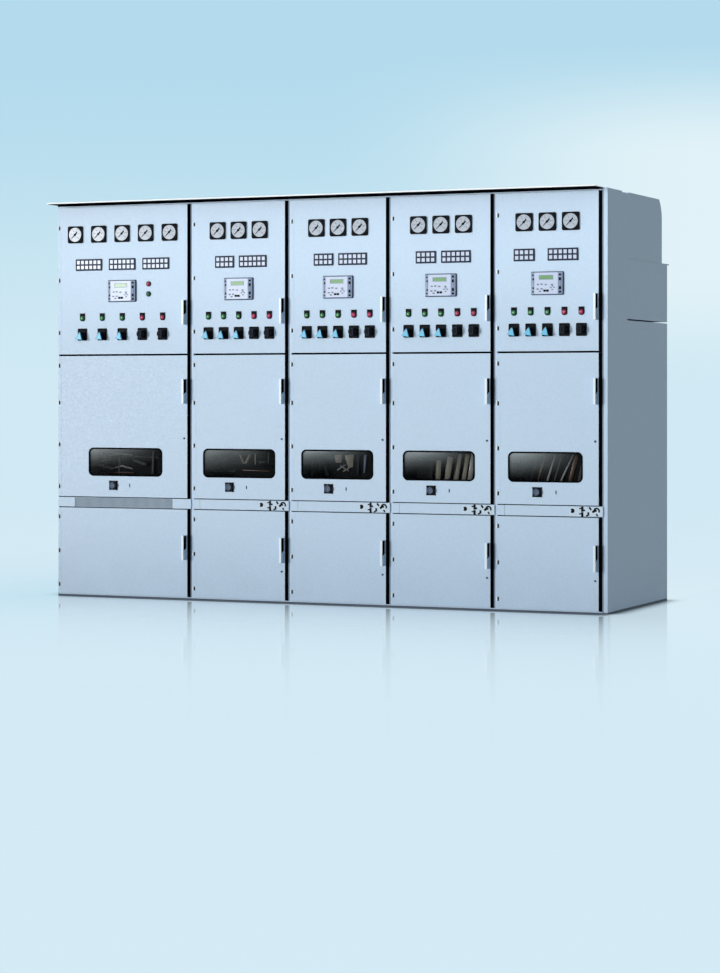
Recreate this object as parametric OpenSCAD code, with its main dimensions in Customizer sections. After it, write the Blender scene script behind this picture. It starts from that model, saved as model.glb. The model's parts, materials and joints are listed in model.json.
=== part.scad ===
// Marine switchgear: five metal-clad cubicles side by side, each with three hinged doors.
// Millimetres, +Z up. The doors face -Y. The origin is the middle of the whole line-up's
// base, so X runs along the row and every cubicle is drawn from its own left edge.

/* [Line-up] */
// Width of the first cubicle
first_pitch = 860; // [700:10:1100]
// Width of each of the other cubicles
pitch = 600; // [500:10:760]
// Depth from the faces of the doors to the rear covers
body_d = 1059; // [860:1:1300]
// Thickness of the cover on the right-hand end
end_cover_t = 15.6; // [8:0.1:30]

/* [Rows of doors] */
// Height of the base frame
base_h = 8; // [8:1:30]
// Height of the lower door
lower_door_h = 486; // [400:1:600]
// Height of the fixed band between the lower and middle doors
band_h = 54; // [45:1:80]
// Height of the middle door
middle_door_h = 794; // [650:1:960]
// Height of the upper door
upper_door_h = 832; // [680:1:1000]
// Clear gap round a door's top, bottom and band
door_gap = 5; // [5:0.5:8]
// Gap between the top of the upper door and the roof
head_gap = 5; // [5:0.5:12]

/* [Door leaves] */
// Depth of a door leaf
leaf_t = 25; // [18:1:35]
// Thickness of the door sheet
door_sheet = 2.5; // [1.5:0.1:4]
// From a cubicle's left edge to its doors
hinge_inset = 8; // [7:0.5:12]
// From the doors' right edge to the cubicle's right edge
latch_inset = 31; // [26:1:40]
// Width of the slit beside the hinges
hinge_slit = 3; // [2:0.1:4]
// Radius of a hinge knuckle
knuckle_r = 3; // [2.5:0.1:4]
// Height of half a hinge knuckle
knuckle_h = 11; // [8:0.5:16]

/* [Handles] */
// Width of a handle
handle_w = 13; // [12:1:26]
// Height of a handle
handle_h = 138; // [100:1:180]
// How far a handle stands out of the door
handle_out = 38; // [18:1:40]
// From a handle to the door's right edge
handle_inset = 5; // [4:0.5:14]

/* [Carcass] */
// Thickness of partitions, shelves and rear covers
plate = 3; // [2:0.5:5]
// How far the post faces lie behind the door faces
post_recess = 8; // [6:0.5:12]
// Width of a post to the left of a cubicle's edge
post_left = 14; // [12:1:22]
// Clear depth between a closed door and the frame behind it
door_clear = 5; // [5:0.5:8]
// Width of the frame strips behind the doors
stile_w = 30; // [20:1:40]
// Depth of the instrument compartment
upper_room_d = 289; // [240:1:360]
// Depth of the breaker and cable compartments
lower_room_d = 570; // [480:5:700]
// Diameter of a floor bolt's hole
floor_hole_d = 18; // [12:1:22]
// From a cubicle's edges to its floor bolt holes
floor_hole_inset = 60; // [50:1:90]
// Width of the base frame's bars
base_bar = 90; // [80:1:110]

/* [Roof and rear] */
// How far the canopy reaches in front of the doors
canopy_out = 120; // [80:5:160]
// How far the canopy lies over the roof plates, from the door faces
canopy_back = 40; // [20:5:120]
// How far the canopy stops short of the right-hand end
canopy_short = 24; // [0:1:60]
// Thickness of the raised roof plates
roof_t = 9; // [6:1:20]
// Depth of the raised roof plates
roof_d = 250; // [180:1:260]
// Height of the shoulder that carries the busbar chamber
shoulder_z = 1533; // [1400:1:1600]
// Height of the slot under the busbar chamber
chamber_slot = 8; // [5:0.5:12]
// Height of the busbar chamber
chamber_h = 323; // [260:1:360]
// From the back of the front section to the busbar chamber
chamber_inset = 23; // [10:1:35]
// Thickness of the chamber's lid
lid_t = 6; // [3:0.5:10]
// How far the chamber's lid reaches past the rear covers
chamber_lip = 37; // [10:1:60]
// Width of the gutter between the front section and the rear duct
gutter_w = 39; // [37:1:60]
// Depth of the gutter below the front section's top
gutter_drop = 8; // [4:1:20]
// From the rear covers to the back of the rear duct
duct_setback = 99; // [60:1:140]
// Height of the duct's rounded corner
duct_round_h = 98; // [60:1:120]
// Depth of the duct's rounded corner
duct_round_d = 52; // [30:1:70]
// Bulge of the rounded corner past a straight slope
duct_bulge = 11; // [6:0.5:16]

/* [Instruments] */
// Side of a meter's bezel
meter_w = 96; // [72:1:96]
// How far the bezels stand out
meter_out = 8; // [5:0.5:14]
// Depth of the instruments behind the door face
instrument_d = 60; // [45:1:90]
// How far an annunciator stands out
annunciator_out = 5; // [3:0.5:10]
// Height of an annunciator
annunciator_h = 66; // [50:1:80]
// Width of an annunciator with six columns
annunciator_wide = 169; // [130:1:180]
// Width of an annunciator with four columns
annunciator_small = 117; // [90:1:125]
// Width of a protection controller
controller_w = 180; // [150:1:200]
// Height of a protection controller
controller_h = 123; // [100:1:140]
// How far a controller stands out
controller_out = 14; // [8:1:24]
// Width of a signal lamp's plate
lamp_w = 28; // [20:1:30]
// Height of a signal lamp's plate
lamp_h = 44; // [36:1:48]
// Side of a cam switch's plate
switch_w = 60; // [48:1:64]
// How far a cam switch's knob stands out
switch_out = 40; // [28:1:50]

/* [Windows] */
// Height of a window
window_h = 160; // [120:1:190]
// From each cubicle's window to the left edge of its door
window_lefts = [194.5, 60, 60, 60, 60]; // [50:0.5:220]
// From each cubicle's window to the right edge of its door
window_rights = [157, 59, 74, 88, 87]; // [50:1:200]
// Radius of a window's corners
window_r = 30; // [15:1:40]
// Thickness of the window pane
pane_t = 6; // [4:0.5:8]
// How far the pane laps behind the door sheet
pane_lap = 12; // [8:1:18]

/* [Band] */
// Left edge of the grille in the first cubicle, from the cubicle's left edge
grille_left = 112; // [80:1:140]
// Right edge of the grille, from the cubicle's right edge
grille_right = 125; // [90:1:150]
// Width of an interlock plate
interlock_w = 184; // [120:1:190]
// Thickness of an interlock plate
interlock_t = 1.5; // [1:0.1:3]

/* [Breaker trucks] */
// Width of a breaker truck
truck_w = 420; // [340:5:430]
// Height of a breaker truck
truck_h = 470; // [400:5:600]
// From the door faces to the truck's front
truck_y = 150; // [110:5:200]

/* [Hidden] */
CUBICLES = 5;
ROWS = ["upper", "middle", "lower"];
FITTINGS = ["instruments", "lamps_and_switches"];
CARCASS = ["base_frame", "front_posts", "frame_hinges", "door_frames", "crossbands",
    "vent_grille", "interlock_plates", "partitions", "shelves", "rear_barriers",
    "left_end_cover", "right_end_cover", "rear_covers", "busbar_chamber", "rear_duct",
    "roof_plates", "drip_canopy", "breaker_trucks"];

// Clearance between neighbouring sheets of one assembly
sheet_gap = 0.4;
// Clearance of a seated piece that isn't fused to its seat
seat_gap = 0.3;
// Clearance round a hinge knuckle
knuckle_clear = 1;
// Extra depth of a cutting body, so that it leaves no skin
cut = 1;
// Colours
paint = [0.72, 0.81, 0.89];
dark = [0.12, 0.14, 0.17];
steel = [0.60, 0.63, 0.66];

// Heights, from the floor up
lower_z = base_h + door_gap;
band_z = lower_z + lower_door_h + door_gap;
middle_z = band_z + band_h + door_gap;
split_z = middle_z + middle_door_h + door_gap;
upper_z = split_z + door_gap;
body_h = upper_z + upper_door_h + head_gap;
top_z = body_h + roof_t;
chamber_z = shoulder_z + chamber_slot;
duct_z = chamber_z + chamber_h;
gutter_z = body_h - gutter_drop;

// Depths, from the door faces back
frame_y = leaf_t + door_clear;
room_y = frame_y + plate;
upper_room_back = room_y + upper_room_d;
lower_room_back = room_y + lower_room_d;
chamber_y = upper_room_back + chamber_inset;
duct_y = upper_room_back + gutter_w;
duct_back = body_d - duct_setback;
chamber_back = body_d + chamber_lip;

// Widths
row_w = first_pitch + (CUBICLES - 1) * pitch;
total_w = row_w + end_cover_t;
origin_x = total_w / 2;
origin_y = (chamber_back - canopy_out) / 2;

function cubicle_w(k) = k == 1 ? first_pitch : pitch;
function cubicle_x(k) = k == 1 ? 0 : first_pitch + (k - 2) * pitch;
function door_x(k) = cubicle_x(k) + hinge_inset;
function door_w(k) = cubicle_w(k) - hinge_inset - latch_inset;
function door_cx(k) = door_x(k) + door_w(k) / 2;
// The clear width between the sheets either side of a cubicle
function room_left(k) = cubicle_x(k) + (k == 1 ? plate : plate / 2);
function room_right(k) = cubicle_x(k) + cubicle_w(k) - (k == CUBICLES ? 0 : plate / 2);

// Each row of doors: height of its sill, its height, its hinges and its handle, the last
// two as shares of the door's height
function row_z(row) = row == "lower" ? lower_z : row == "middle" ? middle_z : upper_z;
function row_h(row) = row == "lower" ? lower_door_h : row == "middle" ? middle_door_h : upper_door_h;
function row_hinges(row) = row == "lower" ? [0.107, 0.502, 0.897]
    : row == "middle" ? [0.073, 0.372, 0.671, 0.935]
    : [0.149, 0.506, 0.864];
function row_handle(row) = row == "lower" ? 0.566 : row == "middle" ? 0.748 : 0.276;

// Rows of fittings on the upper doors, as shares of the door's height
meter_z = upper_z + 0.814 * upper_door_h;
annunciator_z = upper_z + 0.607 * upper_door_h;
controller_z = upper_z + 0.426 * upper_door_h;
lamp_z = upper_z + 0.251 * upper_door_h;
switch_z = upper_z + 0.134 * upper_door_h;
window_z = middle_z + 0.248 * middle_door_h;

// Places across the first and the other doors, as shares of the door's width
function spread(k, count, share) =
    [for (i = [0:count - 1]) door_cx(k) + (i - (count - 1) / 2) * share * door_w(k)];
function meter_xs(k) = k == 1 ? spread(k, 5, 0.183) : spread(k, 3, 0.230);
function control_xs(k) = spread(k, 5, k == 1 ? 0.156 : 1 / 6);
// Annunciators: [middle, width]
function annunciator_list(k) =
    k == 1 ? [for (x = spread(k, 3, 0.260)) [x, annunciator_wide]]
    : [[door_cx(k) - (k == CUBICLES ? 0.230 : 0.154) * door_w(k), annunciator_small],
       [door_cx(k) + 0.153 * door_w(k), annunciator_wide]];
// The two larger lamps beside the first cubicle's controller, the lower one this far under
// the controller's middle
big_lamp_d = 30;
big_lamp_out = 12;
big_lamp_x = door_cx(1) + 0.204 * door_w(1);
big_lamp_low = 19;
big_lamp_step = 56;
big_lamp_zs = [for (i = [0, 1]) controller_z - big_lamp_low + i * big_lamp_step];

// Sets the drawing's left, front, floor corner at the line-up's own origin
module placed() {
    translate([-origin_x, -origin_y, 0]) children();
}

// A box from its lowest to its highest corner
module span(low, high) {
    translate(low) cube(high - low);
}

// An upright slab in the XZ plane with round corners, centred on x and z
module rounded_slab(w, h, t, r) {
    for (dx = [-1, 1], dz = [-1, 1])
        translate([dx * (w / 2 - r), 0, dz * (h / 2 - r)])
            rotate([-90, 0, 0]) cylinder(r = r, h = t, $fn = 48);
    span([-w / 2 + r, 0, -h / 2], [w / 2 - r, t, h / 2]);
    span([-w / 2, 0, -h / 2 + r], [w / 2, t, h / 2 - r]);
}

// ---- doors ----

module knuckle(h) {
    cylinder(r = knuckle_r, h = h, $fn = 32);
}

module hinge_at(row) {
    for (share = row_hinges(row)) translate([0, 0, row_z(row) + share * row_h(row)]) children();
}

module handle(k, row) {
    right = door_x(k) + door_w(k) - handle_inset;
    mid = row_z(row) + row_handle(row) * row_h(row);
    span([right - handle_w, -handle_out, mid - handle_h / 2],
         [right, -seat_gap, mid + handle_h / 2]);
}

// A folded tray: front sheet with a return all round, the door's half of each hinge, and
// the holes that its fittings need as children
module door(k, row) {
    x = door_x(k);
    w = door_w(k);
    z = row_z(row);
    h = row_h(row);
    color(paint) placed() {
        difference() {
            union() {
                difference() {
                    span([x, 0, z], [x + w, leaf_t, z + h]);
                    span([x + door_sheet, door_sheet, z + door_sheet],
                         [x + w - door_sheet, leaf_t + cut, z + h - door_sheet]);
                }
                translate([x - hinge_slit / 2, 0, 0]) hinge_at(row) knuckle(knuckle_h);
            }
            hinge_at(row)
                span([x - hinge_slit, -knuckle_r - cut, -knuckle_h - knuckle_clear],
                     [x + hinge_slit / 2 + knuckle_clear, knuckle_r + knuckle_clear, 0]);
            children();
        }
        handle(k, row);
    }
}

module upper_door(k) {
    door(k, "upper") {
        for (cx = meter_xs(k)) fitting_hole(cx, meter_z, meter_w, meter_w);
        for (a = annunciator_list(k)) fitting_hole(a[0], annunciator_z, a[1], annunciator_h);
        fitting_hole(door_cx(k), controller_z, controller_w, controller_h);
        for (cx = control_xs(k)) {
            fitting_hole(cx, lamp_z, lamp_w, lamp_h);
            round_hole(cx, switch_z, switch_shank_r);
        }
        if (k == 1) for (z = big_lamp_zs) round_hole(big_lamp_x, z, big_shank_r);
    }
}

module middle_door(k) {
    door(k, "middle")
        translate([window_cx(k), -cut, window_z])
            rounded_slab(window_w(k), window_h, door_sheet + 2 * cut, window_r);
}

module lower_door(k) {
    door(k, "lower");
}

// ---- windows ----

function window_w(k) = door_w(k) - window_lefts[k - 1] - window_rights[k - 1];
function window_cx(k) = door_x(k) + window_lefts[k - 1] + window_w(k) / 2;

module window(k) {
    color([0.2, 0.24, 0.26, 0.6]) placed()
        translate([window_cx(k), door_sheet, window_z])
            rounded_slab(window_w(k) + 2 * pane_lap, window_h + 2 * pane_lap, pane_t,
                window_r + pane_lap);
}

// ---- fittings on the upper doors ----

// Clearance of a fitting's body in its hole, and how far its rim laps the sheet
fitting_clear = 1;
fitting_lap = 3;
lamp_out = 9;
// Radii of the shanks of the cam switches and of the larger lamps
switch_shank_r = 16;
big_shank_r = 11;
// A cam switch's plate and the grip that turns it
switch_plate_t = 10;
grip_w = 16;
grip_h = 48;

module fitting_hole(cx, cz, w, h) {
    span([cx - w / 2 + fitting_lap, -cut, cz - h / 2 + fitting_lap],
         [cx + w / 2 - fitting_lap, door_sheet + cut, cz + h / 2 - fitting_lap]);
}

module round_hole(cx, cz, shank_r) {
    translate([cx, -cut, cz]) rotate([-90, 0, 0])
        cylinder(r = shank_r + fitting_clear, h = door_sheet + 2 * cut, $fn = 40);
}

// A rectangular fitting: a rim on the door's face and a body through its hole
module fitting(cx, cz, w, h, out, depth) {
    rim = fitting_lap + fitting_clear;
    span([cx - w / 2, -out, cz - h / 2], [cx + w / 2, 0, cz + h / 2]);
    span([cx - w / 2 + rim, -cut, cz - h / 2 + rim],
         [cx + w / 2 - rim, depth, cz + h / 2 - rim]);
}

// A row of meters, the annunciators under it and the controller under those
module instruments(k) {
    color(dark) placed() {
        for (cx = meter_xs(k)) fitting(cx, meter_z, meter_w, meter_w, meter_out, instrument_d);
        for (a = annunciator_list(k))
            fitting(a[0], annunciator_z, a[1], annunciator_h, annunciator_out, instrument_d);
        fitting(door_cx(k), controller_z, controller_w, controller_h, controller_out,
            instrument_d);
    }
}

module shank(r) {
    rotate([-90, 0, 0]) translate([0, 0, -cut]) cylinder(r = r, h = instrument_d + cut, $fn = 40);
}

module lamps_and_switches(k) {
    color(dark) placed() {
        for (cx = control_xs(k)) {
            fitting(cx, lamp_z, lamp_w, lamp_h, lamp_out, instrument_d);
            translate([cx, 0, switch_z]) {
                span([-switch_w / 2, -switch_plate_t, -switch_w / 2], [switch_w / 2, 0, switch_w / 2]);
                span([-grip_w / 2, -switch_out, -grip_h / 2],
                     [grip_w / 2, -switch_plate_t + cut, grip_h / 2]);
                shank(switch_shank_r);
            }
        }
        if (k == 1) for (z = big_lamp_zs) translate([big_lamp_x, 0, z]) {
            rotate([90, 0, 0]) cylinder(r = big_lamp_d / 2, h = big_lamp_out, $fn = 40);
            shank(big_shank_r);
        }
    }
}

// ---- carcass ----

// The cubicles' left edges, and the right edge of the last one
edges = [for (k = [1:CUBICLES]) cubicle_x(k), row_w];

module base_frame() {
    front = post_recess;
    color(paint) placed() difference() {
        union() {
            span([0, front, 0], [total_w, front + base_bar, base_h]);
            span([0, body_d - base_bar, 0], [total_w, body_d, base_h]);
            for (x = edges) {
                left = max(0, x - base_bar / 2);
                span([left, front + base_bar + sheet_gap, 0],
                     [min(total_w, left + base_bar), body_d - base_bar - sheet_gap, base_h]);
            }
        }
        for (k = [1:CUBICLES], side = [0, 1], y = floor_hole_ys)
            translate([floor_hole_x(k, side), y, -cut])
                cylinder(r = floor_hole_d / 2, h = base_h + 2 * cut, $fn = 32);
    }
}

floor_hole_ys = [post_recess + base_bar / 2, body_d - base_bar / 2];
function floor_hole_x(k, side) = cubicle_x(k)
    + (side == 0 ? floor_hole_inset : cubicle_w(k) - floor_hole_inset);

module front_posts() {
    color(paint) placed() for (x = edges)
        span([max(0, x - post_left), post_recess, base_h],
             [x == row_w ? total_w : x + hinge_inset - hinge_slit, room_y, body_h]);
}

// The posts' halves of the hinges, each a knuckle on a short arm
module frame_hinges() {
    color(steel) placed() for (k = [1:CUBICLES], row = ROWS)
        translate([door_x(k) - hinge_slit / 2, 0, -knuckle_h - knuckle_clear / 2]) hinge_at(row) {
            knuckle(knuckle_h);
            span([-hinge_slit / 2 - knuckle_r, -knuckle_r / 2, 0],
                 [-hinge_slit / 2, post_recess, knuckle_h]);
        }
}

// Strips behind the doors' edges that the doors close against
module door_frames() {
    lip = 22;
    color(paint) placed() for (k = [1:CUBICLES]) {
        left = cubicle_x(k) + hinge_inset - hinge_slit;
        right = cubicle_x(k) + cubicle_w(k) - post_left;
        span([left, frame_y, base_h], [left + stile_w, room_y, body_h]);
        span([right - stile_w, frame_y, base_h], [right, room_y, body_h]);
        for (z = [[base_h, base_h + lip],
                  [band_z - lip / 2, middle_z - door_gap + lip / 2],
                  [split_z - lip, split_z + lip],
                  [body_h - lip, body_h]])
            span([left + stile_w + sheet_gap, frame_y, z[0]],
                 [right - stile_w - sheet_gap, room_y, z[1]]);
    }
}

band_front = 1;
band_lap = 8;
function band_left(k) = door_x(k) - hinge_slit;
function band_right(k) = cubicle_x(k) + cubicle_w(k) - band_lap;

module crossbands() {
    top = band_z + band_h;
    color(paint) placed() for (k = [1:CUBICLES])
        if (k == 1) {
            span([band_left(k), band_front, band_z], [grille_left, post_recess, top]);
            span([first_pitch - grille_right, band_front, band_z], [band_right(k), post_recess, top]);
        } else span([band_left(k), band_front, band_z], [band_right(k), post_recess, top]);
}

module vent_grille() {
    depth = 3;
    color(steel) placed()
        span([grille_left + sheet_gap, post_recess - depth, band_z],
             [first_pitch - grille_right - sheet_gap, post_recess, band_z + band_h]);
}

module interlock_plates() {
    edge = 4;
    color(paint) placed() for (k = [2:CUBICLES])
        span([band_right(k) - interlock_w, band_front - interlock_t, band_z + edge],
             [band_right(k), band_front, band_z + band_h - edge]);
}

// Sheets between the cubicles: the lower part reaches the rear, the upper part only the
// back of the instrument compartment
module partitions() {
    color(paint) placed() for (k = [2:CUBICLES]) {
        left = cubicle_x(k) - plate / 2;
        span([left, room_y, base_h], [left + plate, body_d - plate, shoulder_z - sheet_gap]);
        span([left, room_y, shoulder_z], [left + plate, upper_room_back, body_h]);
    }
}

shelf_z = band_z + band_h / 2;

module shelves() {
    color(paint) placed() for (k = [1:CUBICLES]) {
        span([room_left(k), base_bar + post_recess, base_h],
             [room_right(k), lower_room_back, base_h + plate]);
        span([room_left(k), room_y, shelf_z], [room_right(k), lower_room_back, shelf_z + plate]);
        span([room_left(k), room_y, split_z - plate], [room_right(k), lower_room_back, split_z]);
        span([room_left(k), upper_room_back, shoulder_z - plate],
             [room_right(k), body_d - plate, shoulder_z]);
    }
}

module rear_barriers() {
    back = lower_room_back;
    color(paint) placed() for (k = [1:CUBICLES]) {
        span([room_left(k), upper_room_back - plate, split_z],
             [room_right(k), upper_room_back, body_h]);
        span([room_left(k), back, base_h], [room_right(k), back + plate, shelf_z - sheet_gap]);
        span([room_left(k), back, shelf_z], [room_right(k), back + plate, split_z]);
    }
}

// One end of the row: a cover as deep as the row up to the shoulder, and as the front section
// and the duct above it, and the busbar chamber's own end plate
module end_cover(left, t) {
    color(paint) placed() translate([left, 0, 0]) {
        span([0, room_y, base_h], [t, body_d, shoulder_z]);
        span([0, room_y, base_h], [t, upper_room_back, body_h]);
        span([0, upper_room_back - cut, shoulder_z - cut], [t, chamber_y - sheet_gap, gutter_z]);
        span([0, upper_room_back - cut, duct_z + sheet_gap], [t, duct_y + cut, gutter_z]);
        duct_section(t, duct_z + sheet_gap);
        span([0, chamber_y, chamber_z], [t, body_d, duct_z - lid_t - sheet_gap]);
    }
}

module left_end_cover() {
    end_cover(0, plate);
}

module right_end_cover() {
    end_cover(row_w, end_cover_t);
}

// Radius of the duct's corner, from its height, depth and bulge
corner_chord = norm([duct_round_d, duct_round_h]);
corner_r = corner_chord * corner_chord / (8 * duct_bulge) + duct_bulge / 2;
// Unit vector from the arc's middle towards its centre, and the centre itself
corner_in = [-duct_round_h, -duct_round_d] / corner_chord;
corner_mid = [duct_back - duct_round_d / 2, top_z - duct_round_h / 2];
corner_centre = corner_mid + corner_in * (corner_r - duct_bulge);

// The duct's end view with its rounded rear corner, as a slab
module duct_section(t, floor_z) {
    intersection() {
        span([0, duct_y, floor_z], [t, duct_back, top_z]);
        union() {
            span([0, 0, 0], [t, duct_back, top_z - duct_round_h]);
            span([0, 0, 0], [t, duct_back - duct_round_d, top_z]);
            translate([0, corner_centre[0], corner_centre[1]]) rotate([0, 90, 0])
                cylinder(r = corner_r, h = t, $fn = 96);
        }
    }
}

module rear_covers() {
    color(paint) placed() for (k = [1:CUBICLES]) {
        left = k == 1 ? plate : cubicle_x(k);
        right = cubicle_x(k) + cubicle_w(k);
        span([left + sheet_gap / 2, body_d - plate, base_h],
             [right - sheet_gap / 2, body_d, shoulder_z]);
    }
}

// Floor, front and rear sheets between the chamber's end plates, the lid over them all, and
// the packing bars that lift it off the shoulder
module busbar_chamber() {
    left = plate;
    right = row_w;
    // Width of a packing bar, and its distance from the chamber's front and rear
    bar_w = 60;
    color(paint) placed() {
        for (k = [1:CUBICLES])
            span([door_cx(k) - bar_w / 2, chamber_y + bar_w, shoulder_z],
                 [door_cx(k) + bar_w / 2, body_d - bar_w, chamber_z - seat_gap]);
        span([left, chamber_y, chamber_z], [right, body_d, chamber_z + plate]);
        span([left, chamber_y, chamber_z + plate + sheet_gap],
             [right, chamber_y + plate, duct_z - lid_t - sheet_gap]);
        for (k = [1:CUBICLES])
            span([(k == 1 ? plate : cubicle_x(k)) + sheet_gap / 2, body_d - plate,
                  chamber_z + plate + sheet_gap],
                 [cubicle_x(k) + cubicle_w(k) - sheet_gap / 2, body_d, duct_z - lid_t - sheet_gap]);
        span([0, chamber_y, duct_z - lid_t], [total_w, chamber_back, duct_z]);
    }
}

// Front, top and rear sheets of the duct, the rounded corner between the last two, and the
// gutter's floor in front of them
module rear_duct() {
    length = row_w - plate;
    round_y = duct_back - duct_round_d;
    round_z = top_z - duct_round_h;
    color(paint) placed() translate([plate, 0, 0]) {
        span([0, duct_y, duct_z], [length, duct_y + plate, top_z - plate - sheet_gap]);
        span([0, upper_room_back, gutter_z - plate], [length, duct_y - sheet_gap, gutter_z]);
        span([0, duct_y, top_z - plate], [length, round_y, top_z]);
        span([0, duct_back - plate, duct_z], [length, duct_back, round_z]);
        intersection() {
            span([0, round_y + sheet_gap, round_z + sheet_gap], [length, duct_back, top_z]);
            difference() {
                duct_section(length, duct_z);
                translate([-cut, corner_centre[0], corner_centre[1]]) rotate([0, 90, 0])
                    cylinder(r = corner_r - plate, h = length + 2 * cut, $fn = 96);
            }
        }
    }
}

// Raised plates over the front of each cubicle, and the lower strip behind them
module roof_plates() {
    color(paint) placed() for (k = [1:CUBICLES]) {
        left = cubicle_x(k) + sheet_gap / 2;
        right = k == CUBICLES ? total_w : cubicle_x(k) + cubicle_w(k) - sheet_gap / 2;
        span([left, post_recess, body_h], [right, roof_d, top_z]);
        span([left, roof_d + sheet_gap, body_h], [right, upper_room_back, body_h + plate]);
    }
}

module drip_canopy() {
    sheet = 3;
    fold = 8;
    right = total_w - canopy_short;
    color(paint) placed() {
        span([0, -canopy_out, top_z], [right, canopy_back, top_z + sheet]);
        span([0, -canopy_out, top_z], [right, -canopy_out + sheet, top_z + fold]);
    }
}

// A withdrawable breaker in each middle compartment: carriage, mechanism and three poles
module breaker_trucks() {
    carriage_h = 34;
    mechanism_d = 90;
    pole_w = 84;
    pole_d = 210;
    pole_step = 0.32 * truck_w;
    floor_z = shelf_z + plate;
    color(steel) placed() for (k = [1:CUBICLES]) translate([door_cx(k), truck_y, floor_z]) {
        span([-truck_w / 2, 0, 0], [truck_w / 2, mechanism_d + pole_d, carriage_h]);
        span([-truck_w / 2, 0, carriage_h + sheet_gap], [truck_w / 2, mechanism_d, truck_h]);
        for (i = [-1:1])
            span([i * pole_step - pole_w / 2, mechanism_d + sheet_gap, carriage_h + sheet_gap],
                 [i * pole_step + pole_w / 2, mechanism_d + pole_d, truck_h - pole_w]);
    }
}

base_frame();
front_posts();
frame_hinges();
door_frames();
crossbands();
vent_grille();
interlock_plates();
partitions();
shelves();
rear_barriers();
left_end_cover();
right_end_cover();
rear_covers();
busbar_chamber();
rear_duct();
roof_plates();
drip_canopy();
breaker_trucks();
for (k = [1:CUBICLES]) {
    upper_door(k);
    middle_door(k);
    lower_door(k);
    window(k);
    instruments(k);
    lamps_and_switches(k);
}
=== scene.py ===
"""Marine switchgear: finishes and small parts for a row of five metal-clad cubicles."""

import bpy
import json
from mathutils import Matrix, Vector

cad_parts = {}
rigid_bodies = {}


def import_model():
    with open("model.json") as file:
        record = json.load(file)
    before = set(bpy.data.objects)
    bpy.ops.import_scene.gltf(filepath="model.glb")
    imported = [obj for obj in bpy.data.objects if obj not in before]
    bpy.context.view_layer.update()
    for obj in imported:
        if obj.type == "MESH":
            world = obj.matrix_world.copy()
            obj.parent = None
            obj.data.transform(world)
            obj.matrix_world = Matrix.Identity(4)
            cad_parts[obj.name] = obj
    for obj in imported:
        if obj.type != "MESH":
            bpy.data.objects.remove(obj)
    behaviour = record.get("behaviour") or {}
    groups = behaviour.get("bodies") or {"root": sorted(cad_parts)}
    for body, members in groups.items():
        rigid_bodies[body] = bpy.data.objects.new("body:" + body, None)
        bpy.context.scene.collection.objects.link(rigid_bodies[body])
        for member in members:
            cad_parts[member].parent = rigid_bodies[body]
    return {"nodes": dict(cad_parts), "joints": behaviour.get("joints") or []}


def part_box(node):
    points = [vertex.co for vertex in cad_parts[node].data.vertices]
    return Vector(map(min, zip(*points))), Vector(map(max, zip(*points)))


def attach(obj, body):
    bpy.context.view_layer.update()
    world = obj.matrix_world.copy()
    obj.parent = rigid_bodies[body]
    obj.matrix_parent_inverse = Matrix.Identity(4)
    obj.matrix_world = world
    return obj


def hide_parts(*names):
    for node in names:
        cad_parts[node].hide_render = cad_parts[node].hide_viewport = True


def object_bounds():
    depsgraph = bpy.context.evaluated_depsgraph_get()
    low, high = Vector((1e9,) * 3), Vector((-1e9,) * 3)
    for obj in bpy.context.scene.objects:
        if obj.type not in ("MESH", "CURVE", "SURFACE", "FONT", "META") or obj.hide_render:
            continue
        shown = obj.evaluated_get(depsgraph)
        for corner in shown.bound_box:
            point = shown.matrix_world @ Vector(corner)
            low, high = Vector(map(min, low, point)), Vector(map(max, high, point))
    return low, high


bl_info = {
    "name": "Marine Switchgear Row",
    "version": (1, 0, 0),
    "blender": (4, 5, 0),
    "location": "3D View > Sidebar > Switchgear",
    "description": "Doors, instruments, windows and finishes of a row of switchgear cubicles",
    "category": "Object",
}

import json
from math import atan2, cos, pi, radians, sin

import bpy
from mathutils import Vector

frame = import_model()
CAD_BOX = [list(corner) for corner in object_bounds()]

MM = 0.001
# Places nearer than this count as the same
NEAR = 1e-5
SHELL = frame["joints"][0]["parent"]
# The plane of the door faces, which the hinge pins lie in
FACE_Y = frame["joints"][0]["pos_m"][1]
ROWS = ("upper", "middle", "lower")
CUBICLES = sorted(
    int(node.rsplit("_", 1)[1]) for node in frame["nodes"] if node.startswith("window_")
)
FIRST = CUBICLES[0]
FRONT_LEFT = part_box("front_posts")[0][0]


# ---- places from the frame ----


class Solid:
    """The box round one solid of the frame."""

    def __init__(self, points):
        self.low = Vector(map(min, zip(*points)))
        self.high = Vector(map(max, zip(*points)))
        self.size = self.high - self.low
        self.middle = (self.low + self.high) / 2

    def bulk(self):
        return self.size.x * self.size.y * self.size.z


def solids_of(node):
    """The separate solids of a frame node, from left to right."""
    mesh = frame["nodes"][node].data
    spots = [tuple(round(c, 6) for c in v.co) for v in mesh.vertices]
    leader = {spot: spot for spot in spots}

    def lead(spot):
        while leader[spot] != spot:
            leader[spot] = leader[leader[spot]]
            spot = leader[spot]
        return spot

    for face in mesh.polygons:
        first = lead(spots[face.vertices[0]])
        for corner in face.vertices[1:]:
            leader[lead(spots[corner])] = first
    groups = {}
    for spot in leader:
        groups.setdefault(lead(spot), []).append(spot)
    return sorted(map(Solid, groups.values()), key=lambda s: (s.middle.x, s.middle.z))


def largest(node):
    """The solid of a node that takes the most room."""
    return max(solids_of(node), key=Solid.bulk)


def leaf_of(door):
    """The front of a door's leaf, without its hinge knuckles and its handle."""
    tray = largest(door)
    sill = [
        v.co.x
        for v in frame["nodes"][door].data.vertices
        if abs(v.co.z - tray.low.z) < 0.01 * MM
    ]
    return Solid([(min(sill), FACE_Y, tray.low.z), tray.high])


def handle_of(door):
    """The smallest solid of a door, which is its handle."""
    return min(solids_of(door), key=Solid.bulk)


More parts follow.
